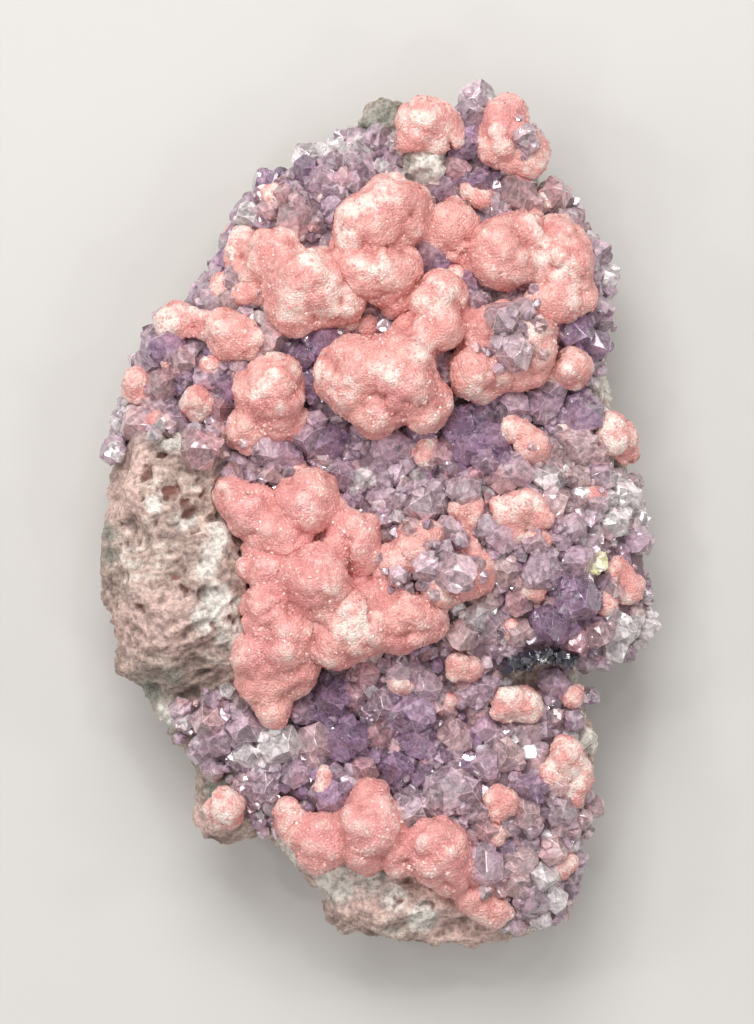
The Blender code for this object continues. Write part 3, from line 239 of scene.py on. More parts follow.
# Pits that weathering left in the rock, stained by rust: x, y, radius, depth.
PITS = [
    (-40, 8.3, 0.9, 1.4), (-39.2, 9.4, 0.7, 1.2), (-37, 11.2, 0.8, 1.4), (-36.2, 12, 0.6, 1.0),
    (-35.6, 4.5, 1.3, 1.2), (-34.2, 5.2, 0.8, 1.0), (-30.5, 7.5, 0.6, 1.0), (-29.6, 5, 0.9, 1.2),
    (-32, 1.6, 1.3, 1.3), (-33, 3.2, 0.8, 1.0), (-34.5, -6.8, 0.8, 1.1), (-33, -8.2, 0.7, 1.0),
    (-34.6, -9.9, 0.8, 1.0), (-32.4, -11.6, 0.8, 1.0), (-27, -11.5, 0.7, 0.9), (-41, -15, 0.7, 1.0),
    (-27.6, -18.6, 0.7, 0.9), (-24, -17.4, 0.6, 0.9), (-24, -25, 0.7, 0.9), (2, -60.6, 0.7, 1.0),
    (5, -62.2, 0.7, 1.0), (4, -65.6, 1.0, 1.3), (9.3, -66.7, 0.9, 1.2), (-43, -10, 0.6, 0.8),
    (-13.5, -53, 1.2, 2.6), (-26, -22, 0.6, 0.8), (-31, -2, 0.6, 0.8),
    (-30, -20, 0.5, 0.7), (-37.5, -1, 0.5, 0.7),
]
# White crust, green-grey weathering and pink patches of the rock: x, y, radius.
WHITE_CRUST = [
    (-36, 14, 2.6), (-33, 14, 3), (-30, 12.6, 2.6), (-25.4, 1, 2.6), (-26.6, -2, 2.6), (-28, -5, 2.8),
    (-29, -8, 2.4), (-27.4, -13, 3), (-24.6, -15, 2.6), (-29, -17, 3), (-33, 0, 2), (-38, 3, 2),
    (-25, -20, 3), (8.8, 60.6, 5), (12, 62, 3), (39.4, 34, 3), (34, 52, 3), (27.4, 58.6, 2.4),
    (-14, -57, 4), (-1, -62, 4), (-36.5, -34, 3), (35.5, -27, 3), (34.6, -34, 2.6), (37.6, -38.4, 2.6),
    (-7, -63, 4), (3, -65, 3), (8, -69, 3), (-3, -58.6, 3), (28.6, -69, 4),
    (40.4, 24, 4), (41, 18, 3), (43, 11, 3),
]
GREEN_GREY = [
    (-46.4, -2, 2), (-46.2, -6, 2), (-40, -30, 5), (-36, -36, 4), (-31, -41.4, 4), (-27, -46.4, 4),
    (2, 71, 5.6), (-1, 67, 4), (36, -52, 5), (39.8, 33, 3), (-35, -27, 3), (35, -31, 4),
    (32.6, -62, 5),
]
PINK_ROCK = [
    (-43, 4, 6), (-36, -17, 8), (-41, 10, 4), (-22, -27, 5), (14, -68, 9), (18, -72, 6), (-2, -66, 6),
    (-42, -18, 6), (7, -58, 6), (37, -35, 4), (40, 22, 4), (-30, -52, 4), (4, -63, 7),
    (10, -62, 5), (-8, -60, 5),
]

# The dark seam and the cream fleck, as lines of places to spread small crystals along.
SEAM_LINE = [(21.6, -25.4), (24.6, -24.8), (27.2, -23.6), (30, -23.4), (33.8, -24.2)]
FLECK_LINE = [(37.4, -9), (39, -7.6), (38.8, -6.4)]

# The studio's lamps: degrees round the specimen, degrees up, width in metres, share of the power.
LAMPS = {
    "key": (100, 50, 0.60, 1.0),
    "front": (205, 72, 0.50, 0.16),
    "left": (178, 32, 0.50, 0.20),
    "right": (10, 36, 0.50, 0.16),
    "low": (280, 42, 0.40, 0.06),
    "glint_1": (60, 64, 0.09, 0.09),
    "glint_2": (140, 58, 0.09, 0.09),
    "glint_3": (165, 44, 0.09, 0.08),
    "glint_4": (30, 46, 0.09, 0.08),
    "glint_5": (235, 55, 0.09, 0.07),
    "glint_6": (320, 55, 0.09, 0.07),
}
LAMP_DISTANCE = 0.95  # metres
LAMP_POWER = 6.2  # watts of a lamp whose share is 1
SKY_LIGHT = 0.28  # strength of the even light from all round

CLEAR, LILAC, PURPLE, ROSE_QUARTZ = range(4)  # the order of the amethyst's materials


def srgb(code):
    """A hex colour as the linear values that a shader takes."""
    parts = [int(code[i : i + 2], 16) / 255 for i in (1, 3, 5)]
    return (*(c / 12.92 if c <= 0.04045 else ((c + 0.055) / 1.055) ** 2.4 for c in parts), 1.0)


def per_mm(size):
    """A texture's scale for features of this size in millimetres."""
    return 1 / (size * MM)


def node(tree, kind, inputs=None, **settings):
    """Adds a node with these settings, and sets or links its inputs by name or number.

    A colour is given as hex, and a node stands for the first of its outputs that is in use.
    """
    made = tree.nodes.new("ShaderNode" + kind)
    for name, value in settings.items():
        setattr(made, name, value)
    for name, value in (inputs or {}).items():
        if isinstance(value, bpy.types.Node):
            value = next(output for output in value.outputs if output.enabled)
        if isinstance(value, bpy.types.NodeSocket):
            tree.links.new(value, made.inputs[name])
        else:
            made.inputs[name].default_value = srgb(value) if isinstance(value, str) else value
    return made


def new_material(name):
    """An empty material, and the function that adds a node to it."""
    material = bpy.data.materials.new(name)
    material.use_nodes = True
    material.node_tree.nodes.clear()
    return material, partial(node, material.node_tree)


# Shapes


def scatter(cell, seed):
    """A number from 0 to 1 for each cell of a grid, the same each time."""
    mixed = cell[:, 0] * 73856093 ^ cell[:, 1] * 19349663 ^ cell[:, 2] * 83492791 ^ (seed + 1) * 2654435761
    mixed = (mixed ^ mixed >> 13) * 1274126177 & 0xFFFFFFFF
    mixed = (mixed ^ mixed >> 16) * 2246822519 & 0xFFFFFFFF
    return mixed / 0xFFFFFFFF


def noise_at(points, size, seed):
    """Smooth noise from -1 to 1 at each point, with features of this size."""
    grid = points / size + seed * 13.7
    cell = np.floor(grid).astype(np.int64)
    part = grid - cell
    part = part * part * (3 - 2 * part)
    total = np.zeros(len(points))
    for corner in range(8):
        step = np.array([corner & 1, corner >> 1 & 1, corner >> 2])
        weight = np.prod(np.where(step, part, 1 - part), axis=1)
        total += weight * (scatter(cell + step, seed) * 2 - 1)
    return total


def domes_at(points, size, seed):
    """Heights from 0 to 1 of rounded knobs about this far apart, with creases between them."""
    grid = points / size
    cell = np.floor(grid).astype(np.int64)
    nearest = np.full(len(points), 9.0)
    for corner in range(27):
        other = cell + np.array([corner % 3 - 1, corner // 3 % 3 - 1, corner // 9 - 1])
        shift = np.stack([scatter(other, seed + axis) for axis in range(3)], axis=1)
        nearest = np.minimum(nearest, ((other + shift - grid) ** 2).sum(axis=1))
    return np.sqrt(np.clip(1 - nearest / 0.8, 0, 1))


def layered(points, size, octaves, seed):
    """Several sizes of noise added, each half the size and strength of the last."""
    return sum(noise_at(points, size / 2**i, seed + i) / 2**i for i in range(octaves))


def ridges(points, size, octaves, seed):
    """Sharp crests between rounded hollows, from 0 to about 1."""
    return 1 - sum(np.abs(noise_at(points, size / 2**i, seed + i)) / 2**i for i in range(octaves))


def near_spots(points, spots):
    """From 0 to 1, how near each point is to any of the spots (x, y, radius), seen from the front."""
    x, y = points[:, 0] / MM + MIDDLE[0], points[:, 1] / MM + MIDDLE[1]
    most = np.zeros(len(points))
    for cx, cy, radius in spots:
        most = np.maximum(most, np.exp(-((x - cx) ** 2 + (y - cy) ** 2) / radius**2))
    return most


def coordinates(mesh, kind="co"):
    flat = np.empty(len(mesh.vertices) * 3)
    mesh.vertices.foreach_get(kind, flat)
    return flat.reshape(-1, 3)


def set_coordinates(mesh, points):
    mesh.vertices.foreach_set("co", np.ascontiguousarray(points).ravel())
    mesh.update()


def add_attribute(mesh, name, values, domain="POINT"):
    attribute = mesh.attributes.new(name, "FLOAT", domain)
    attribute.data.foreach_set("value", np.ascontiguousarray(values, np.float32))


def add_object(name, mesh):
    obj = bpy.data.objects.new(name, mesh)
    bpy.context.scene.collection.objects.link(obj)
    return obj


def remeshed(meshes, voxel, smoothing):
    """The meshes as one even skin, smoothed."""
    bm = bmesh.new()
    for mesh in meshes:
        bm.from_mesh(mesh)
    joined = bpy.data.meshes.new("joined")
    bm.to_mesh(joined)
    bm.free()
    holder = add_object("holder", joined)
    remesh = holder.modifiers.new("remesh", "REMESH")
    remesh.mode = "VOXEL"
    remesh.voxel_size = voxel * MM
    smooth = holder.modifiers.new("smooth", "SMOOTH")
    smooth.factor = 0.5
    smooth.iterations = smoothing
    graph = bpy.context.evaluated_depsgraph_get()
    made = bpy.data.meshes.new_from_object(holder.evaluated_get(graph))
    bpy.data.objects.remove(holder)
    return made


def surface_tree(meshes):
    points, faces = [], []
    for mesh in meshes:
        start = len(points)
        points += [vert.co.copy() for vert in mesh.vertices]
        faces += [[start + index for index in face.vertices] for face in mesh.polygons]
    return BVHTree.FromPolygons(points, faces)


def world(x, y, z=0.0):
    """A place on the specimen, in millimetres, as a point of the frame."""
    return Vector((x - MIDDLE[0], y - MIDDLE[1], z)) * MM


def on_surface(tree, x, y):
    """The point and the normal of the front over (x, y), or the nearest point at its rim."""
    place, normal, _, _ = tree.ray_cast(world(x, y, SKY), DOWN)
    if place is None or place.z < WIDEST_HEIGHT * MM:
        place, normal, _, _ = tree.find_nearest(world(x, y, FRONT_BASE - 3))
    return place, normal


def inside_depth(outline, points):
    """How far inside the outline each point is, in millimetres, and below 0 outside it."""
    x, y = points[:, 0] / MM + MIDDLE[0], points[:, 1] / MM + MIDDLE[1]
    within = np.zeros(len(points), bool)
    nearest = np.full(len(points), 1e9)
    for i, (bx, by) in enumerate(outline):
        ax, ay = outline[i - 1]
        crosses = (ay > y) != (by > y)
        reach = ax + (y - ay) / (by - ay if by != ay else 1e-9) * (bx - ax)
        within ^= crosses & (x < reach)
        length = (bx - ax) ** 2 + (by - ay) ** 2
        along = np.clip(((x - ax) * (bx - ax) + (y - ay) * (by - ay)) / length, 0, 1)
        nearest = np.minimum(nearest, np.hypot(ax + (bx - ax) * along - x, ay + (by - ay) * along - y))
    return np.where(within, nearest, -nearest)


def step_between(low, high, values):
    """0 below low, 1 above high, and smooth between."""
    share = np.clip((values - low) / (high - low), 0, 1)
    return share * share * (3 - 2 * share)


def relief_of(mesh, rounds):
    """How far each point stands out from the smoothed surface, in millimetres."""
    points = coordinates(mesh)
    edges = np.empty(len(mesh.edges) * 2, np.int64)
    mesh.edges.foreach_get("vertices", edges)
    ends = edges.reshape(-1, 2)
    here, there = np.concatenate([ends[:, 0], ends[:, 1]]), np.concatenate([ends[:, 1], ends[:, 0]])
    count = np.maximum(np.bincount(here, minlength=len(points)), 1)
    smooth = points.copy()
    for _ in range(rounds):
        for axis in range(3):
            total = np.bincount(here, weights=smooth[there, axis], minlength=len(points))
            smooth[:, axis] = total / count
    return ((points - smooth) * coordinates(mesh, "normal")).sum(axis=1) / MM


def rock_surface(rock):
    """The weathered rock, with the quartz crust swelling out of it under the crystals."""
    mesh = remeshed([rock], ROCK_VOXEL, ROCK_SMOOTHING)
    points, outward = coordinates(mesh), coordinates(mesh, "normal")
    place = points / MM
    crust = step_between(-0.5, 2.0, inside_depth(DRUSE_OUTLINE, points))
    crust *= step_between(15.0, 17.5, place[:, 2]) * (1 - near_spots(points, BARE))
    above_back = step_between(1.0, 4.0, place[:, 2])  # the flat back stays flat
    # the rock broke along planes that run down to the right, so its ridges do too
    turned = place @ np.array([[0.86, 0.5, 0], [-0.5, 0.86, 0], [0, 0, 1]]).T
    torn = ridges(turned * (0.5, 1.25, 1), 3.0, 3, 9) * 1.5 + layered(place, 7.0, 4, 3) * 0.8
    crumbs = domes_at(place, 1.7, 5) * 0.35 - step_between(0.45, 0.9, noise_at(place, 1.5, 61)) * 0.7
    bed = DRUSE_THICKNESS - 1.4 + domes_at(place, 3.0, 21) * 0.9 + domes_at(place, 1.6, 31) * 0.3
    rise = (1 - crust) * above_back * (torn + crumbs - 1.1) + crust * bed
    rust = np.zeros(len(points))
    ragged = np.stack([noise_at(place, 1.6, seed) + 0.6 * noise_at(place, 0.8, seed) for seed in (40, 43)])
    bent = place[:, :2] + ragged.T * 0.9
    for x, y, radius, depth in PITS:
        away = (bent[:, 0] - x + MIDDLE[0]) ** 2 + (bent[:, 1] - y + MIDDLE[1]) ** 2
        pit = np.exp(-away / radius**2)
        pit *= step_between(14.0, 17.0, place[:, 2])
        rise -= pit * depth * 0.8
        rust = np.maximum(rust, pit)
    points = points + outward * (rise * MM)[:, None]
    points[:, 2] = np.maximum(points[:, 2], 0)
    set_coordinates(mesh, points)
    front = step_between(8.0, 14.0, place[:, 2])
    add_attribute(mesh, "crust", crust)
    add_attribute(mesh, "rust", rust)
    for name, spots in (("white", WHITE_CRUST), ("green", GREEN_GREY), ("pink", PINK_ROCK)):
        add_attribute(mesh, name, near_spots(points, spots) * front)
    add_attribute(mesh, "relief", relief_of(mesh, ROCK_SMOOTHING // 2))
    return mesh


def small_lobes(rock_tree):
    """Knots of balls on the crust, which the lumps' skin then takes in."""
    bm, dice = bmesh.new(), random.Random(91)
    for x, y, radius in SMALL_LOBES:
        for _ in range(3):
            part = radius * dice.uniform(0.55, 0.85)
            angle = dice.uniform(0, 2 * math.pi)
            reach = radius * dice.uniform(0.15, 0.5)
            place, normal = on_surface(rock_tree, x + reach * math.cos(angle), y + reach * math.sin(angle))
            centre = place + normal * ((DRUSE_THICKNESS + part * 0.3) * MM)
            shift = Matrix.Translation(centre)
            bmesh.ops.create_icosphere(bm, subdivisions=3, radius=part * MM, matrix=shift)
    made = bpy.data.meshes.new("small_lobes")
    bm.to_mesh(made)
    bm.free()
    return made


def lump_surface(lumps):
    """Rhodochrosite lumps: balls made of smaller balls, with a sugary skin."""
    mesh = remeshed(lumps, LUMP_VOXEL, LUMP_SMOOTHING)
    points, outward = coordinates(mesh), coordinates(mesh, "normal")
    place = points / MM
    rise = domes_at(place, 5.2, 2) * 1.8 + domes_at(place, 2.6, 8) * 0.75 + domes_at(place, 1.2, 14) * 0.26
    rise += layered(place, 8.0, 3, 4) * 0.6 - 1.42
    points = points + outward * (rise * MM)[:, None]
    set_coordinates(mesh, points)
    add_attribute(mesh, "relief", relief_of(mesh, LUMP_SMOOTHING))
    add_attribute(mesh, "frosted", near_spots(points, FROSTED))
    add_attribute(mesh, "rosy", near_spots(points, ROSY))
    return mesh


def clipped(planes, edge=0.0):
    """A closed solid with a flat face on each plane, given as (outward direction, distance).

    Its edges are worn to narrow faces of this width. The third list tells those faces apart.
    """
    bm = bmesh.new()
    bmesh.ops.create_cube(bm, size=BLANK_SIZE)
    for direction, distance in planes:
        whole = bm.verts[:] + bm.edges[:] + bm.faces[:]
        cut = bmesh.ops.bisect_plane(
            bm, geom=whole, plane_co=direction * distance, plane_no=direction, clear_outer=True
        )
        rim = [item for item in cut["geom_cut"] if isinstance(item, bmesh.types.BMEdge)]
        if rim:
            bmesh.ops.contextual_create(bm, geom=rim)
    bmesh.ops.remove_doubles(bm, verts=bm.verts, dist=BLANK_SIZE * 1e-5)
    worn = set()
    if edge:
        cut = bmesh.ops.bevel(
            bm, geom=bm.edges[:], offset=edge, segments=1, affect="EDGES", clamp_overlap=True
        )
        worn = set(cut["faces"])
    bmesh.ops.recalc_face_normals(bm, faces=bm.faces)
    bm.verts.index_update()
    points = np.array([vert.co for vert in bm.verts])
    faces = [[vert.index for vert in face.verts] for face in bm.faces]
    marks = [face in worn for face in bm.faces]
    bm.free()
    return points, faces, marks


def unevenness(dice):
    """How far each of a crystal's six sides stands out or in."""
    return [dice.uniform(-1, 1) for _ in range(6)]


def wobble(dice, reach):
    """A small shift in any direction."""
    return Vector([dice.uniform(-reach, reach) for _ in range(3)])


def quartz_shape(uneven, stretch, dice, edge=EDGE_WIDTH):
    """A quartz crystal of width 1 with its tip at 0: three large end faces and three small."""
    planes = []
    for i in range(6):
        angle = math.radians(60 * i + 30)
        side = Vector((math.cos(angle), math.sin(angle), 0))
        planes.append((side, SIDE_FACE * (1 + 0.12 * uneven[i])))
        large = 0.0 if i % 2 else dice.uniform(0.02, 0.1)
        end = Vector((side.x * END_FACE[0], side.y * END_FACE[0], END_FACE[1]))
        planes.append((end, large + dice.uniform(-0.03, 0.03)))
        root = Vector((side.x * ROOT_FACE[0], side.y * ROOT_FACE[0], ROOT_FACE[1]))
        planes.append((root, 0.8 * stretch + dice.uniform(-0.05, 0.05)))
    return clipped(planes, edge)


def grain_shape(dice, sides, lean):
    """A small pointed grain of width 1 with this many faces round its tip."""
    planes = [(DOWN, 0.3)]
    for i in range(sides):
        angle = 2 * math.pi * (i + dice.uniform(-0.25, 0.25)) / sides
        across = math.cos(lean)
        direction = Vector((across * math.cos(angle), across * math.sin(angle), math.sin(lean)))
        planes.append((direction, dice.uniform(0.28, 0.42)))
    return clipped(planes)


def broken_shape(dice, count, flatten):
    """A small blocky grain with this many flat faces."""
    planes = []
    for i in range(count):
        height = 1 - 2 * (i + 0.5) / count
        angle = i * GOLDEN_ANGLE + dice.uniform(-0.3, 0.3)
        around = math.sqrt(1 - height * height)
        direction = Vector((around * math.cos(angle), around * math.sin(angle), height))
        planes.append((direction, dice.uniform(0.4, 0.55) * (flatten if abs(height) > 0.6 else 1)))
    return clipped(planes)


class CrystalHeap:
    """Many closed crystals gathered into one mesh, with a tone for each and a shade for each face, which
    the quartz draws as painted light.
    """

    def __init__(self):
        self.points, self.faces, self.tones, self.tips, self.kinds = [], [], [], [], []
        self.shades, self.dice = [], random.Random(3)
        self.count = 0

    def add(self, shape, head, direction, spin, width, tone, kind=0):
        points, faces, marks = shape
        turn = direction.to_track_quat("Z", "Y").to_matrix() @ Matrix.Rotation(spin, 3, "Z")
        placed = points @ np.array(turn).T * (width * MM) + np.array(head)
        low, high = points[:, 2].min(), points[:, 2].max()
        self.points.append(placed)
        self.tips.append((points[:, 2] - low) / (high - low))
        self.faces += [[self.count + index for index in face] for face in faces]
        self.tones += [tone] * len(faces)
        self.kinds += [kind] * len(faces)
        # painted light: a random brightness for each face, and a bright one for each worn edge face
        self.shades += [EDGE_HIGHLIGHT if mark else self.dice.random() ** 1.4 for mark in marks]
        self.count += len(points)

    def mesh(self, name):
        made = bpy.data.meshes.new(name)
        made.from_pydata(np.concatenate(self.points).tolist(), [], self.faces)
        made.polygons.foreach_set("material_index", self.kinds)
        add_attribute(made, "tone", self.tones, "FACE")
        add_attribute(made, "shade", self.shades, "FACE")
        add_attribute(made, "tip", np.concatenate(self.tips))
        return made


class Skin:
    """Picks places evenly over a mesh, each with its normal."""

    def __init__(self, mesh, lowest, steepest):
        mesh.calc_loop_triangles()
        corners = coordinates(mesh)
        index = np.empty(len(mesh.loop_triangles) * 3, np.int64)
        mesh.loop_triangles.foreach_get("vertices", index)
        self.a, self.b, self.c = (corners[index[i::3]] for i in range(3))
        cross = np.cross(self.b - self.a, self.c - self.a)
        area = np.linalg.norm(cross, axis=1)
        self.normals = cross / np.maximum(area, 1e-12)[:, None]
        usable = (self.a[:, 2] > lowest * MM) & (self.normals[:, 2] > steepest)
        self.chance = np.cumsum(area * usable)

    def pick(self, dice):
        index = int(np.searchsorted(self.chance, dice.random() * self.chance[-1]))
        u, v = dice.random(), dice.random()
        if u + v > 1:
            u, v = 1 - u, 1 - v
        a, b, c = self.a[index], self.b[index], self.c[index]
        return Vector(a + (b - a) * u + (c - a) * v), Vector(self.normals[index])


def tone_at(x, y, dice):
    """How deep the purple is here, from 0 to 1."""
    weight = 0.15
    total = USUAL_TONE * weight
    for cx, cy, radius, tone in TONES:
        near = math.exp(-((x - cx) ** 2 + (y - cy) ** 2) / (0.6 * radius) ** 2)
        total += tone * near
        weight += near
    return min(1.0, max(0.0, total / weight + dice.uniform(-0.2, 0.2)))


def kind_at(x, y, tone, dice):
    """Which of the amethyst materials a crystal takes: clear, lilac, purple or rose."""
    rose = max(math.exp(-((x - cx) ** 2 + (y - cy) ** 2) / r**2) for cx, cy, r in ROSE)
    if dice.random() < 0.13 + 0.6 * rose:
        return ROSE_QUARTZ
    return CLEAR if tone < 0.3 else LILAC if tone < 0.64 else PURPLE


def stance(normal, lean, dice):
    """The way a crystal points, its spin and how uneven its sides are."""
    sway = Vector((dice.uniform(-0.22, 0.22), dice.uniform(-0.22, 0.22), 0))
    upward = normal.lerp(UP, 0.6)
    direction = (upward + lean.to_3d() * 1.1 + sway).normalized()
    uneven = unevenness(dice)
    return direction, dice.uniform(0, math.pi / 3), uneven


def add_steps(heap, head, direction, spin, width, tone, kind, dice):
    """Narrower crystals that grew in one with a large one, so that its faces are stepped."""
    for _ in range(2):
        small = width * dice.uniform(0.3, 0.5)
        around = Matrix.Rotation(dice.uniform(0, 2 * math.pi), 3, direction)
        side = around @ direction.orthogonal().normalized()
        out = width * 0.46 - small * dice.uniform(0.2, 0.42)
        down = width * dice.uniform(0.12, 0.42)
        near = head + (side * out - direction * down) * MM
        turn = (direction + wobble(dice, 0.08)).normalized()
        shape = quartz_shape(unevenness(dice), 1.3, dice)
        heap.add(shape, near, turn, spin, small, tone, kind)


def large_crystals(rock_tree, cover_tree):
    """The amethyst crystals that are told apart in the picture."""
    heap, dice, extra = CrystalHeap(), random.Random(5), random.Random(8)
    spots = []
    for x, y, shown, lean_x, lean_y in AMETHYST:
        width = shown * CRYSTAL_WIDTH
        lean = Vector((lean_x, lean_y))
        foot_x, foot_y = x - lean.x * width * LEAN_SHIFT, y - lean.y * width * LEAN_SHIFT
        place, normal = on_surface(rock_tree, foot_x, foot_y)
        place = place + normal * (DRUSE_THICKNESS * MM)
        direction, spin, uneven = stance(normal, lean, dice)
        if cover_tree.ray_cast(place, UP)[0]:
            continue
        tone = tone_at(x, y, extra)
        head = place + direction * (width * RISE["large"] * MM)
        kind = kind_at(x, y, tone, extra)
        heap.add(quartz_shape(uneven, 1.2, extra), head, direction, spin, width, tone, kind)
        add_steps(heap, head, direction, spin, width, tone, kind, extra)
        spots.append((head, width))
    return heap.mesh("amethyst_crystals"), spots


def small_crystals(rock, cover_tree, spots):
    """The smaller crystals that fill the crust between the large ones."""
    heap, dice = CrystalHeap(), random.Random(21)
    shapes = [quartz_shape(unevenness(dice), 1.1, dice, 0) for _ in range(14)]
    skin = Skin(rock, lowest=13, steepest=-0.3)
    for _ in range(SMALL_CRYSTAL_TRIES):
        point, normal = skin.pick(dice)
        here = np.array([point])
        bare = near_spots(here, BARE)[0]
        if inside_depth(DRUSE_OUTLINE, here)[0] < -1.0 or point.z < LOWEST_CRYSTAL * MM or bare > 0.35:
            continue
        width = dice.choice(SMALL_WIDTHS)
        place = point + normal * ((DRUSE_THICKNESS - 0.3) * MM)
        if cover_tree.ray_cast(place - normal * MM, normal, 9 * MM)[0]:
            continue
        if any((place - head).length < (big * 0.5 + width * 0.1) * MM for head, big in spots):
            continue
        direction = (normal.lerp(UP, 0.25) + wobble(dice, 0.55)).normalized()
        x, y = place.x / MM + MIDDLE[0], place.y / MM + MIDDLE[1]
        tone = tone_at(x, y, dice)
        head = place + direction * (width * RISE["small"] * MM)
        kind = kind_at(x, y, tone, dice)
        heap.add(dice.choice(shapes), head, direction, dice.uniform(0, 6.3), width, tone, kind)
    return heap.mesh("small_amethyst_crystals")


def highest(rock_tree, lump_tree, x, y):
    """The crust or the lump on it, whichever is in front."""
    place, normal = on_surface(rock_tree, x, y)
    place = place + normal * (DRUSE_THICKNESS * MM)
    lump, lump_normal, _, _ = lump_tree.ray_cast(world(x, y, SKY), DOWN)
    if lump is not None and lump.z > place.z:
        return lump, lump_normal
    return place, normal


def sprinkled_crystals(rock_tree, lump_tree):
    """Small clear crystals scattered over the rhodochrosite."""
    heap, dice = CrystalHeap(), random.Random(61)
    for x, y, width in SPRINKLED:
        place, normal = highest(rock_tree, lump_tree, x, y)
        aim = (normal.lerp(UP, 0.4) + wobble(dice, 0.5)).normalized()
        shape = quartz_shape(unevenness(dice), 1.2, dice)
        head = place + aim * (width * RISE["sprinkled"] * MM)
        spin = dice.uniform(0, 6.3)
        heap.add(shape, head, aim, spin, width, dice.uniform(0.1, 0.5), dice.choice((0, 1)))
        add_steps(heap, head, aim, spin, width, 0.3, 0, dice)
    return heap.mesh("sprinkled_crystals")


def late_crystals(name, rock_tree, lump_tree):
    """A group of pale crystals that stand on the rhodochrosite."""
    heap, dice, extra = CrystalHeap(), random.Random(name), random.Random(name + "faces")
    for x, y, width, stretch, lean_x, lean_y in LATE_CRYSTALS[name]:
        lean = Vector((lean_x, lean_y))
        foot = Vector((x, y)) - lean * width * LEAN_SHIFT
        place, normal = highest(rock_tree, lump_tree, foot.x, foot.y)
        direction, spin, uneven = stance(normal, lean, dice)
        head = place + direction * (width * RISE["late"] * stretch * MM)
        heap.add(quartz_shape(uneven, stretch + 0.2, extra), head, direction, spin, width, 0.3)
        add_steps(heap, head, direction, spin, width, 0.3, 0, extra)
        for _ in range(4):
            side = Vector((extra.uniform(-1, 1), extra.uniform(-1, 1), 0)) * width * 0.7
            small = width * extra.uniform(0.25, 0.5)
            place, normal = highest(rock_tree, lump_tree, x + side.x, y + side.y)
            aim = (normal + wobble(extra, 0.5)).normalized()
            shape = quartz_shape(unevenness(extra), 1.1, extra)
            heap.add(shape, place + aim * (small * RISE["beside"] * MM), aim, spin, small, 0.5)
    return heap.mesh(name)


def sugar(lumps):
    """Tiny pointed grains that grew all over the rhodochrosite, in drifts."""
    heap, dice = CrystalHeap(), random.Random(77)
    shapes = [grain_shape(dice, sides=5, lean=0.95) for _ in range(12)]
    skin = Skin(lumps, lowest=18, steepest=-0.2)
    for _ in range(SUGAR_GRAINS):
        point, normal = skin.pick(dice)
        width = dice.uniform(*SUGAR_WIDTH)
        aim = (normal + wobble(dice, 0.6)).normalized()
        spin = dice.uniform(0, 6.3)
        heap.add(dice.choice(shapes), point, aim, spin, width, dice.random())
    return heap.mesh("sugar")


def grains_along(name, line, tree, count, widths, faces, flatten, spread=0.9):
    """Small blocky crystals spread along a line on the front."""
    heap, dice = CrystalHeap(), random.Random(name)
    for i in range(count):
        share = (i + dice.random()) / count * (len(line) - 1)
        leg = min(int(share), len(line) - 2)
        ax, ay = line[leg]
        bx, by = line[leg + 1]
        x = ax + (bx - ax) * (share - leg) + dice.uniform(-spread, spread)
        y = ay + (by - ay) * (share - leg) + dice.uniform(-spread, spread)
        place, normal, _, _ = tree.ray_cast(world(x, y, SKY), DOWN)
        if place is None:
            place, normal, _, _ = tree.find_nearest(world(x, y, SKY))
        width = dice.uniform(*widths)
        aim = (normal + wobble(dice, 0.6)).normalized()
        head = place - normal * (0.2 * width * MM)
        heap.add(broken_shape(dice, faces, flatten), head, aim, dice.uniform(0, 6.3), width, dice.random())
    return heap.mesh(name)


# Materials
# Where inputs go by number, a Mix has its share at 0 and its colours at 6 and 7, and a MapRange has
# its value at 0, the range that comes in at 1 and 2, and the range that goes out at 3 and 4.


def turned_faces(add, cells, reach, bump):
    """Normals that turn each cell of a pattern its own way, by up to half of this reach."""
    away = add("VectorMath", {0: cells.outputs["Color"], 1: (0.5, 0.5, 0.5)}, operation="SUBTRACT")
    turned = add("VectorMath", {0: away, 1: (reach, reach, reach), 2: bump}, operation="MULTIPLY_ADD")
    return add("VectorMath", {0: turned}, operation="NORMALIZE")


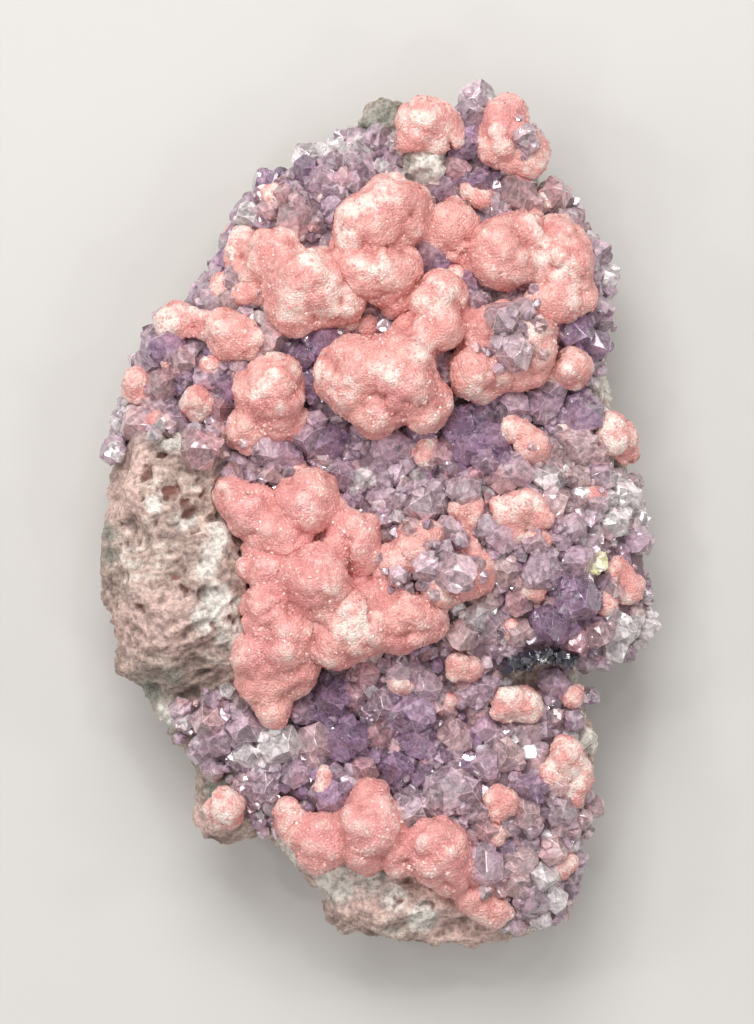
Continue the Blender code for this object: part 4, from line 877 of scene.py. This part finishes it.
def quartz_material(name, tints, cloudy_shaded_root, absorbed=None, density=0.0):
    """Quartz, grown from hot water in an open vein: glass-clear, with flat bright faces.

    Some of the colour is in its depth, by absorption, which a crystal of a millimetre or two is
    too small to show. Healed cracks and veils inside it scatter light, so each crystal is part
    clear and part milky; toward its root it is drawn darker, as painted shade of the recesses.
    """
    material, add = new_material(name)
    tone = add("Attribute", attribute_name="tone").outputs["Fac"]
    tip = add("Attribute", attribute_name="tip").outputs["Fac"]
    place = add("TexCoord").outputs["Object"]
    veil = add("TexNoise", {"Vector": place, "Scale": per_mm(3.0), "Detail": 4.0, "Distortion": 2.0})
    violet = add("Math", {0: veil, 1: tone}, operation="ADD")
    share = add("MapRange", {0: violet, 1: 0.7, 2: 1.3})
    deep = add("Mix", {0: share, 6: tints[0], 7: tints[1]}, data_type="RGBA")
    # painted shade: toward its root each crystal turns to its cloudy root colour, which is drawn dark as
    # the shade between crystals
    tip_and_veil = add("Math", {0: tip, 1: veil}, operation="ADD")
    clear = add("MapRange", {0: tip_and_veil, 1: 0.5, 2: 1.1})
    body = add("Mix", {0: clear, 6: cloudy_shaded_root, 7: deep}, data_type="RGBA")
    # the faces are a mosaic of growth plates under a millimetre wide, each turned a little
    plates = add("TexVoronoi", {"Vector": place, "Scale": per_mm(0.9)})
    crack = add("TexNoise", {"Vector": place, "Scale": per_mm(1.2), "Detail": 3.0, "Distortion": 1.0})
    bump = add("Bump", {"Strength": 0.15, "Distance": 0.0001, "Height": crack})
    facing = turned_faces(add, plates, 0.16, bump)
    # painted reflection and shade: each face is drawn brighter or darker at random, as faces that mirror a
    # lamp or look into darker depths, and each growth plate changes it a little
    shade = add("Attribute", attribute_name="shade").outputs["Fac"]
    patch = add("SeparateColor", {0: plates.outputs["Color"]})
    both = add("Math", {0: patch, 1: 0.5, 2: shade}, operation="MULTIPLY_ADD")
    bright = add("MapRange", {0: both, 1: 0.1, 2: 1.35, 3: 0.55, 4: 1.7})
    milk = add("MapRange", {0: crack, 1: 0.36, 2: 0.64, 3: 0.68, 4: 1.3})
    light = add("Math", {0: bright, 1: milk}, operation="MULTIPLY")
    faced = add("VectorMath", {0: body, "Scale": light}, operation="SCALE")
    # thin white cracks run through it
    seams = add("TexVoronoi", {"Vector": place, "Scale": per_mm(1.7)}, feature="DISTANCE_TO_EDGE")
    line = add("MapRange", {0: seams, 1: 0.0, 2: 0.04, 3: 0.35, 4: 0.0})
    colour = add("Mix", {0: line, 6: faced, 7: "#FBF7FC"}, data_type="RGBA")
    polish = add("MapRange", {0: veil, 1: 0.5, 2: 0.75, 3: 0.01, 4: 0.12})
    shader = add("BsdfPrincipled", {
        "Base Color": colour, "Roughness": polish, "IOR": 1.544, "Transmission Weight": 0.5,
        "Coat Weight": 0.9, "Coat Roughness": 0.03, "Coat IOR": 1.6,
        "Normal": facing, "Coat Normal": facing,
    })
    finish = {"Surface": shader}
    if density:
        finish["Volume"] = add("VolumeAbsorption", {"Color": absorbed, "Density": density})
    add("OutputMaterial", finish)
    return material


def rhodochrosite_material():
    """Rhodochrosite, a manganese carbonate laid down in rounded crusts with a sugary skin.

    Light goes a little way in, the hollows are drawn a darker red as painted shade, and each grain's face
    can glint.
    """
    material, add = new_material("rhodochrosite_sugary")
    place = add("TexCoord").outputs["Object"]
    relief = add("Attribute", attribute_name="relief").outputs["Fac"]
    blotch = add("TexNoise", {"Vector": place, "Scale": per_mm(6.0), "Detail": 4.0})
    spread = add("MapRange", {0: blotch, 1: 0.38, 2: 0.62})
    salmon = add("Mix", {0: spread, 6: "#DF938E", 7: "#EAABA2"}, data_type="RGBA")
    rosy = add("Attribute", attribute_name="rosy").outputs["Fac"]
    rosier = add("MapRange", {0: rosy, 1: 0.2, 2: 1.0, 4: 0.75})
    pink = add("Mix", {0: rosier, 6: salmon, 7: "#E49494"}, data_type="RGBA")
    # painted shade: the hollows between the balls are drawn a darker red
    painted_hollow_shade = add("MapRange", {0: relief, 1: -0.7, 2: 0.15})
    deep = add("Mix", {0: painted_hollow_shade, 6: "#C4766F", 7: pink}, data_type="RGBA")
    # frost gathers in drifts on the listed spots, and what stands highest is drawn whiter too, as painted
    # highlight
    frosted = add("Attribute", attribute_name="frosted").outputs["Fac"]
    lifted = add("Math", {0: frosted, 1: relief}, operation="ADD")
    high = add("MapRange", {0: lifted, 1: 0.15, 2: 0.75})
    drift = add("TexNoise", {"Vector": place, "Scale": per_mm(4.5), "Detail": 6.0, "Roughness": 0.65})
    patch = add("MapRange", {0: drift, 1: 0.42, 2: 0.58})
    frost_and_highlight = add("Math", {0: high, 1: patch}, operation="MULTIPLY")
    frosted_lit_and_shaded = add("Mix", {0: frost_and_highlight, 6: deep, 7: "#FBE4D9"}, data_type="RGBA")
    # Some of the grains are clear and show the red under them, others are white inside. They are
    # about twice as coarse here as in the real frosting, so that they show.
    grain = add("TexVoronoi", {"Vector": place, "Scale": per_mm(0.42)})
    lot = add("SeparateColor", {0: grain.outputs["Color"]}).outputs[1]
    bright = add("MapRange", {0: lot, 3: 0.89, 4: 1.12})
    colour = add("VectorMath", {0: frosted_lit_and_shaded, "Scale": bright}, operation="SCALE")
    bump = add("Bump", {"Strength": 0.65, "Distance": 0.0004, "Height": grain}, invert=True)
    # each grain's face is turned its own way, so that some catch the light
    glint = turned_faces(add, grain, 1.3, bump)
    shader = add("BsdfPrincipled", {
        "Base Color": colour, "Roughness": 0.5, "IOR": 1.6, "Normal": bump,
        "Subsurface Weight": 0.25, "Subsurface Scale": 0.0008, "Subsurface Radius": (1.0, 0.6, 0.55),
        "Coat Weight": 0.4, "Coat Roughness": 0.1, "Coat IOR": 1.6, "Coat Normal": glint,
    })
    add("OutputMaterial", {"Surface": shader})
    return material


def sugar_material():
    """Rhodochrosite again, as the clear tips of its youngest grains: paler, with bright faces."""
    material, add = new_material("rhodochrosite_tips")
    tone = add("Attribute", attribute_name="tone").outputs["Fac"]
    place = add("TexCoord").outputs["Object"]
    drift = add("TexNoise", {"Vector": place, "Scale": per_mm(4.5), "Detail": 4.0})
    patch = add("MapRange", {0: drift, 1: 0.46, 2: 0.6})
    share = add("Math", {0: patch, 1: tone}, operation="MULTIPLY")
    colour = add("Mix", {0: share, 6: "#E49F98", 7: "#FADFD5"}, data_type="RGBA")
    shader = add("BsdfPrincipled", {"Base Color": colour, "Roughness": 0.15, "IOR": 1.6})
    add("OutputMaterial", {"Surface": shader})
    return material


def rock_material():
    """Vein rock, broken and weathered: dull, chalky, stained by rust in its pits.

    Where the quartz crust begins it turns to glassy mauve-grey quartz, drawn dark as painted shade between
    the crystals.
    """
    material, add = new_material("vein_rock_weathered")
    place = add("TexCoord").outputs["Object"]
    relief = add("Attribute", attribute_name="relief").outputs["Fac"]
    crust = add("Attribute", attribute_name="crust").outputs["Fac"]
    zones = add("TexNoise", {"Vector": place, "Scale": per_mm(9.0), "Detail": 6.0, "Roughness": 0.65})
    streaks = add("Mapping", {"Vector": place, "Rotation": (0, 0, -0.55), "Scale": (1, 3.2, 1)})
    lines = add("TexNoise", {"Vector": streaks, "Scale": per_mm(5.0), "Detail": 5.0})
    mixed = add("Math", {0: zones, 1: lines}, operation="ADD")
    halved = add("Math", {0: mixed, 1: 0.5}, operation="MULTIPLY")
    colour = add("ValToRGB", {"Fac": halved})
    stops = colour.color_ramp.elements
    stops[0].position, stops[0].color = 0.38, srgb("#927E76")
    stops[1].position, stops[1].color = 0.60, srgb("#E8DACE")
    stops.new(0.46).color = srgb("#BDA499")
    stops.new(0.54).color = srgb("#D2BAAE")
    for name, code, low, high in (
        ("pink", "#E3C2B8", 0.15, 0.45), ("green", "#9C9A8E", 0.15, 0.5), ("white", "#F3ECE2", 0.15, 0.35),
    ):
        zone = add("Attribute", attribute_name=name).outputs["Fac"]
        ragged = add("Math", {0: zone, 1: zones}, operation="MULTIPLY")
        share = add("MapRange", {0: ragged, 1: low, 2: high})
        colour = add("Mix", {0: share, 6: colour, 7: code}, data_type="RGBA")
    speck = add("TexNoise", {"Vector": place, "Scale": per_mm(0.9), "Detail": 5.0, "Roughness": 0.7})
    # painted shade: the rock is drawn darker in its hollows, and its specks make it lighter and darker here
    # and there
    low = add("MapRange", {0: relief, 1: -0.5, 2: 0.05, 3: 0.5, 4: 1.0})
    chalk = add("MapRange", {0: speck, 1: 0.36, 2: 0.62, 3: 0.62, 4: 1.4})
    shade_and_specks = add("Math", {0: low, 1: chalk}, operation="MULTIPLY")
    shaded_and_specked = add("VectorMath", {0: colour, "Scale": shade_and_specks}, operation="SCALE")
    rust = add("Attribute", attribute_name="rust").outputs["Fac"]
    stain = add("MapRange", {0: rust, 1: 0.2, 2: 0.9, 4: 0.85})
    stained = add("Mix", {0: stain, 6: shaded_and_specked, 7: "#854A40"}, data_type="RGBA")
    # painted shade: the crust between the crystals is drawn dark mauve, as the shade of the recesses
    bed = add("Mix", {0: speck, 6: "#6E525C", 7: "#B99CA6"}, data_type="RGBA")
    colour = add("Mix", {0: crust, 6: stained, 7: bed}, data_type="RGBA")
    rough = add("MapRange", {0: crust, 3: 0.9, 4: 0.3})
    bump = add("Bump", {"Strength": 1.0, "Distance": 0.0007, "Height": speck})
    shader = add("BsdfPrincipled", {
        "Base Color": colour, "Roughness": rough, "IOR": 1.5, "Normal": bump,
    })
    add("OutputMaterial", {"Surface": shader})
    return material


def mineral_material(name, codes, roughness, ior):
    """A plain mineral with a shade that differs a little from crystal to crystal."""
    material, add = new_material(name)
    tone = add("Attribute", attribute_name="tone").outputs["Fac"]
    place = add("TexCoord").outputs["Object"]
    colour = add("Mix", {0: tone, 6: codes[0], 7: codes[1]}, data_type="RGBA")
    fine = add("TexNoise", {"Vector": place, "Scale": per_mm(0.6), "Detail": 2.0})
    bump = add("Bump", {"Strength": 0.3, "Distance": 0.0001, "Height": fine})
    shader = add("BsdfPrincipled", {
        "Base Color": colour, "Roughness": roughness, "IOR": ior, "Normal": bump,
    })
    add("OutputMaterial", {"Surface": shader})
    return material


def add_piece(name, mesh, materials, nodes, smooth=False):
    """A finished piece that rides on the specimen and stands for these solids."""
    for material in materials:
        mesh.materials.append(material)
    if smooth:
        mesh.polygons.foreach_set("use_smooth", [True] * len(mesh.polygons))
    obj = add_object(name, mesh)
    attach(obj, "root")
    if nodes:
        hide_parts(*nodes)


def add_studio():
    """A pale floor, a large soft lamp beyond the specimen's top, and weaker ones round it."""
    mesh = bpy.data.meshes.new("floor")
    mesh.from_pydata([(-2, -2, 0), (2, -2, 0), (2, 2, 0), (-2, 2, 0)], [], [(0, 1, 2, 3)])
    floor = add_object("floor", mesh)
    material, add = new_material("pale_floor")
    shader = add("BsdfPrincipled", {"Base Color": "#CFCCC8", "Roughness": 0.8})
    add("OutputMaterial", {"Surface": shader})
    mesh.materials.append(material)
    for name, (around, height, width, share) in LAMPS.items():
        data = bpy.data.lights.new(name, "AREA")
        data.shape, data.size, data.energy = "DISK", width, LAMP_POWER * share
        lamp = bpy.data.objects.new(name, data)
        flat = math.cos(math.radians(height))
        turn = math.radians(around)
        place = Vector((flat * math.cos(turn), flat * math.sin(turn), math.sin(math.radians(height))))
        lamp.location = place * LAMP_DISTANCE
        lamp.rotation_euler = (-place).to_track_quat("-Z", "Y").to_euler()
        bpy.context.scene.collection.objects.link(lamp)
    sky = bpy.data.worlds.new("studio")
    sky.use_nodes = True
    inputs = sky.node_tree.nodes["Background"].inputs
    inputs["Color"].default_value, inputs["Strength"].default_value = srgb("#FFFDFC"), SKY_LIGHT
    bpy.context.scene.world = sky
    bpy.context.scene.view_settings.view_transform = "Standard"


def add_camera():
    """A long lens straight above the front, as in the photograph."""
    data = bpy.data.cameras.new("camera")
    data.sensor_width = SENSOR
    distance = CAMERA_HEIGHT - CAMERA_AIM[2] * MM
    data.lens = SENSOR * distance / (PICTURE_MM * MM)
    data.clip_start, data.clip_end = 0.05, 10
    camera = bpy.data.objects.new("camera", data)
    camera.location = (CAMERA_AIM[0] * MM, CAMERA_AIM[1] * MM, CAMERA_HEIGHT)
    bpy.context.scene.collection.objects.link(camera)
    bpy.context.scene.camera = camera


def dress():
    solids = {name: obj.data for name, obj in frame["nodes"].items()}
    rock = solids["host_rock"]
    pinks = [name for name in solids if name.startswith("rhodochrosite")]
    rock_tree = surface_tree([rock])
    others = [mesh for name, mesh in solids.items() if name not in ("host_rock", "amethyst_druse")]
    cover_tree = surface_tree(others)

    # For each kind: its pale and deep tints, its cloudy root colour drawn dark as painted shade, the colour
    # it absorbs and how densely.
    tints = {
        "clear": (("#FDF3F3", "#EFDAE0"), "#A88E92", "#F8EFF1", 10.0),
        "lilac": (("#F2DAE0", "#BE98B2"), "#8A6A78", "#F0DBE7", 9.0),
        "purple": (("#E4C6D4", "#A886A6"), "#70536A", "#ECD7E5", 5.0),
        "rose": (("#F4D6D6", "#D4A0A8"), "#986A6C", "#F3D7D7", 12.0),
    }
    amethyst = [quartz_material("amethyst_" + name, *look) for name, look in tints.items()]
    druse = [quartz_material("druse_" + name, *look[:2]) for name, look in tints.items()]
    lilac, rose = amethyst[LILAC], amethyst[ROSE_QUARTZ]

    add_piece("rock_surface", rock_surface(rock), [rock_material()], ["host_rock"], True)
    lumps = lump_surface([solids[name] for name in pinks] + [small_lobes(rock_tree)])
    add_piece("rhodochrosite_lumps", lumps, [rhodochrosite_material()], pinks, True)
    lump_tree = surface_tree([lumps])
    add_piece("rhodochrosite_sugar", sugar(lumps), [sugar_material()], [])
    large, spots = large_crystals(rock_tree, cover_tree)
    add_piece("amethyst_crystals", large, amethyst, ["amethyst_druse"])
    small = small_crystals(rock, cover_tree, spots)
    add_piece("small_amethyst_crystals", small, druse, [])
    for name in LATE_CRYSTALS:
        group = late_crystals(name, rock_tree, lump_tree)
        add_piece(name + "_crystals", group, [lilac], [name])
    sprinkled = sprinkled_crystals(rock_tree, lump_tree)
    add_piece("sprinkled_crystals", sprinkled, [rose, lilac], [])
    seam_tree = surface_tree([solids["sphalerite_seam"]])
    seam = grains_along(
        "sphalerite_grains", SEAM_LINE, seam_tree, count=64, widths=(1.0, 2.2), faces=11, flatten=1.0
    )
    black = mineral_material("sphalerite_resinous", ("#10101A", "#1F1F34"), 0.18, 2.37)
    add_piece("sphalerite_grains", seam, [black], ["sphalerite_seam"])
    fleck_tree = surface_tree([solids["calcite_fleck"]])
    fleck = grains_along(
        "calcite_grains", FLECK_LINE, fleck_tree, count=14, widths=(1.2, 2.4), faces=9, flatten=0.6
    )
    cream = mineral_material("calcite_waxy", ("#E6E0AC", "#F4F0DA"), 0.35, 1.66)
    add_piece("calcite_grains", fleck, [cream], ["calcite_fleck"])


add_studio()
add_camera()
dress()
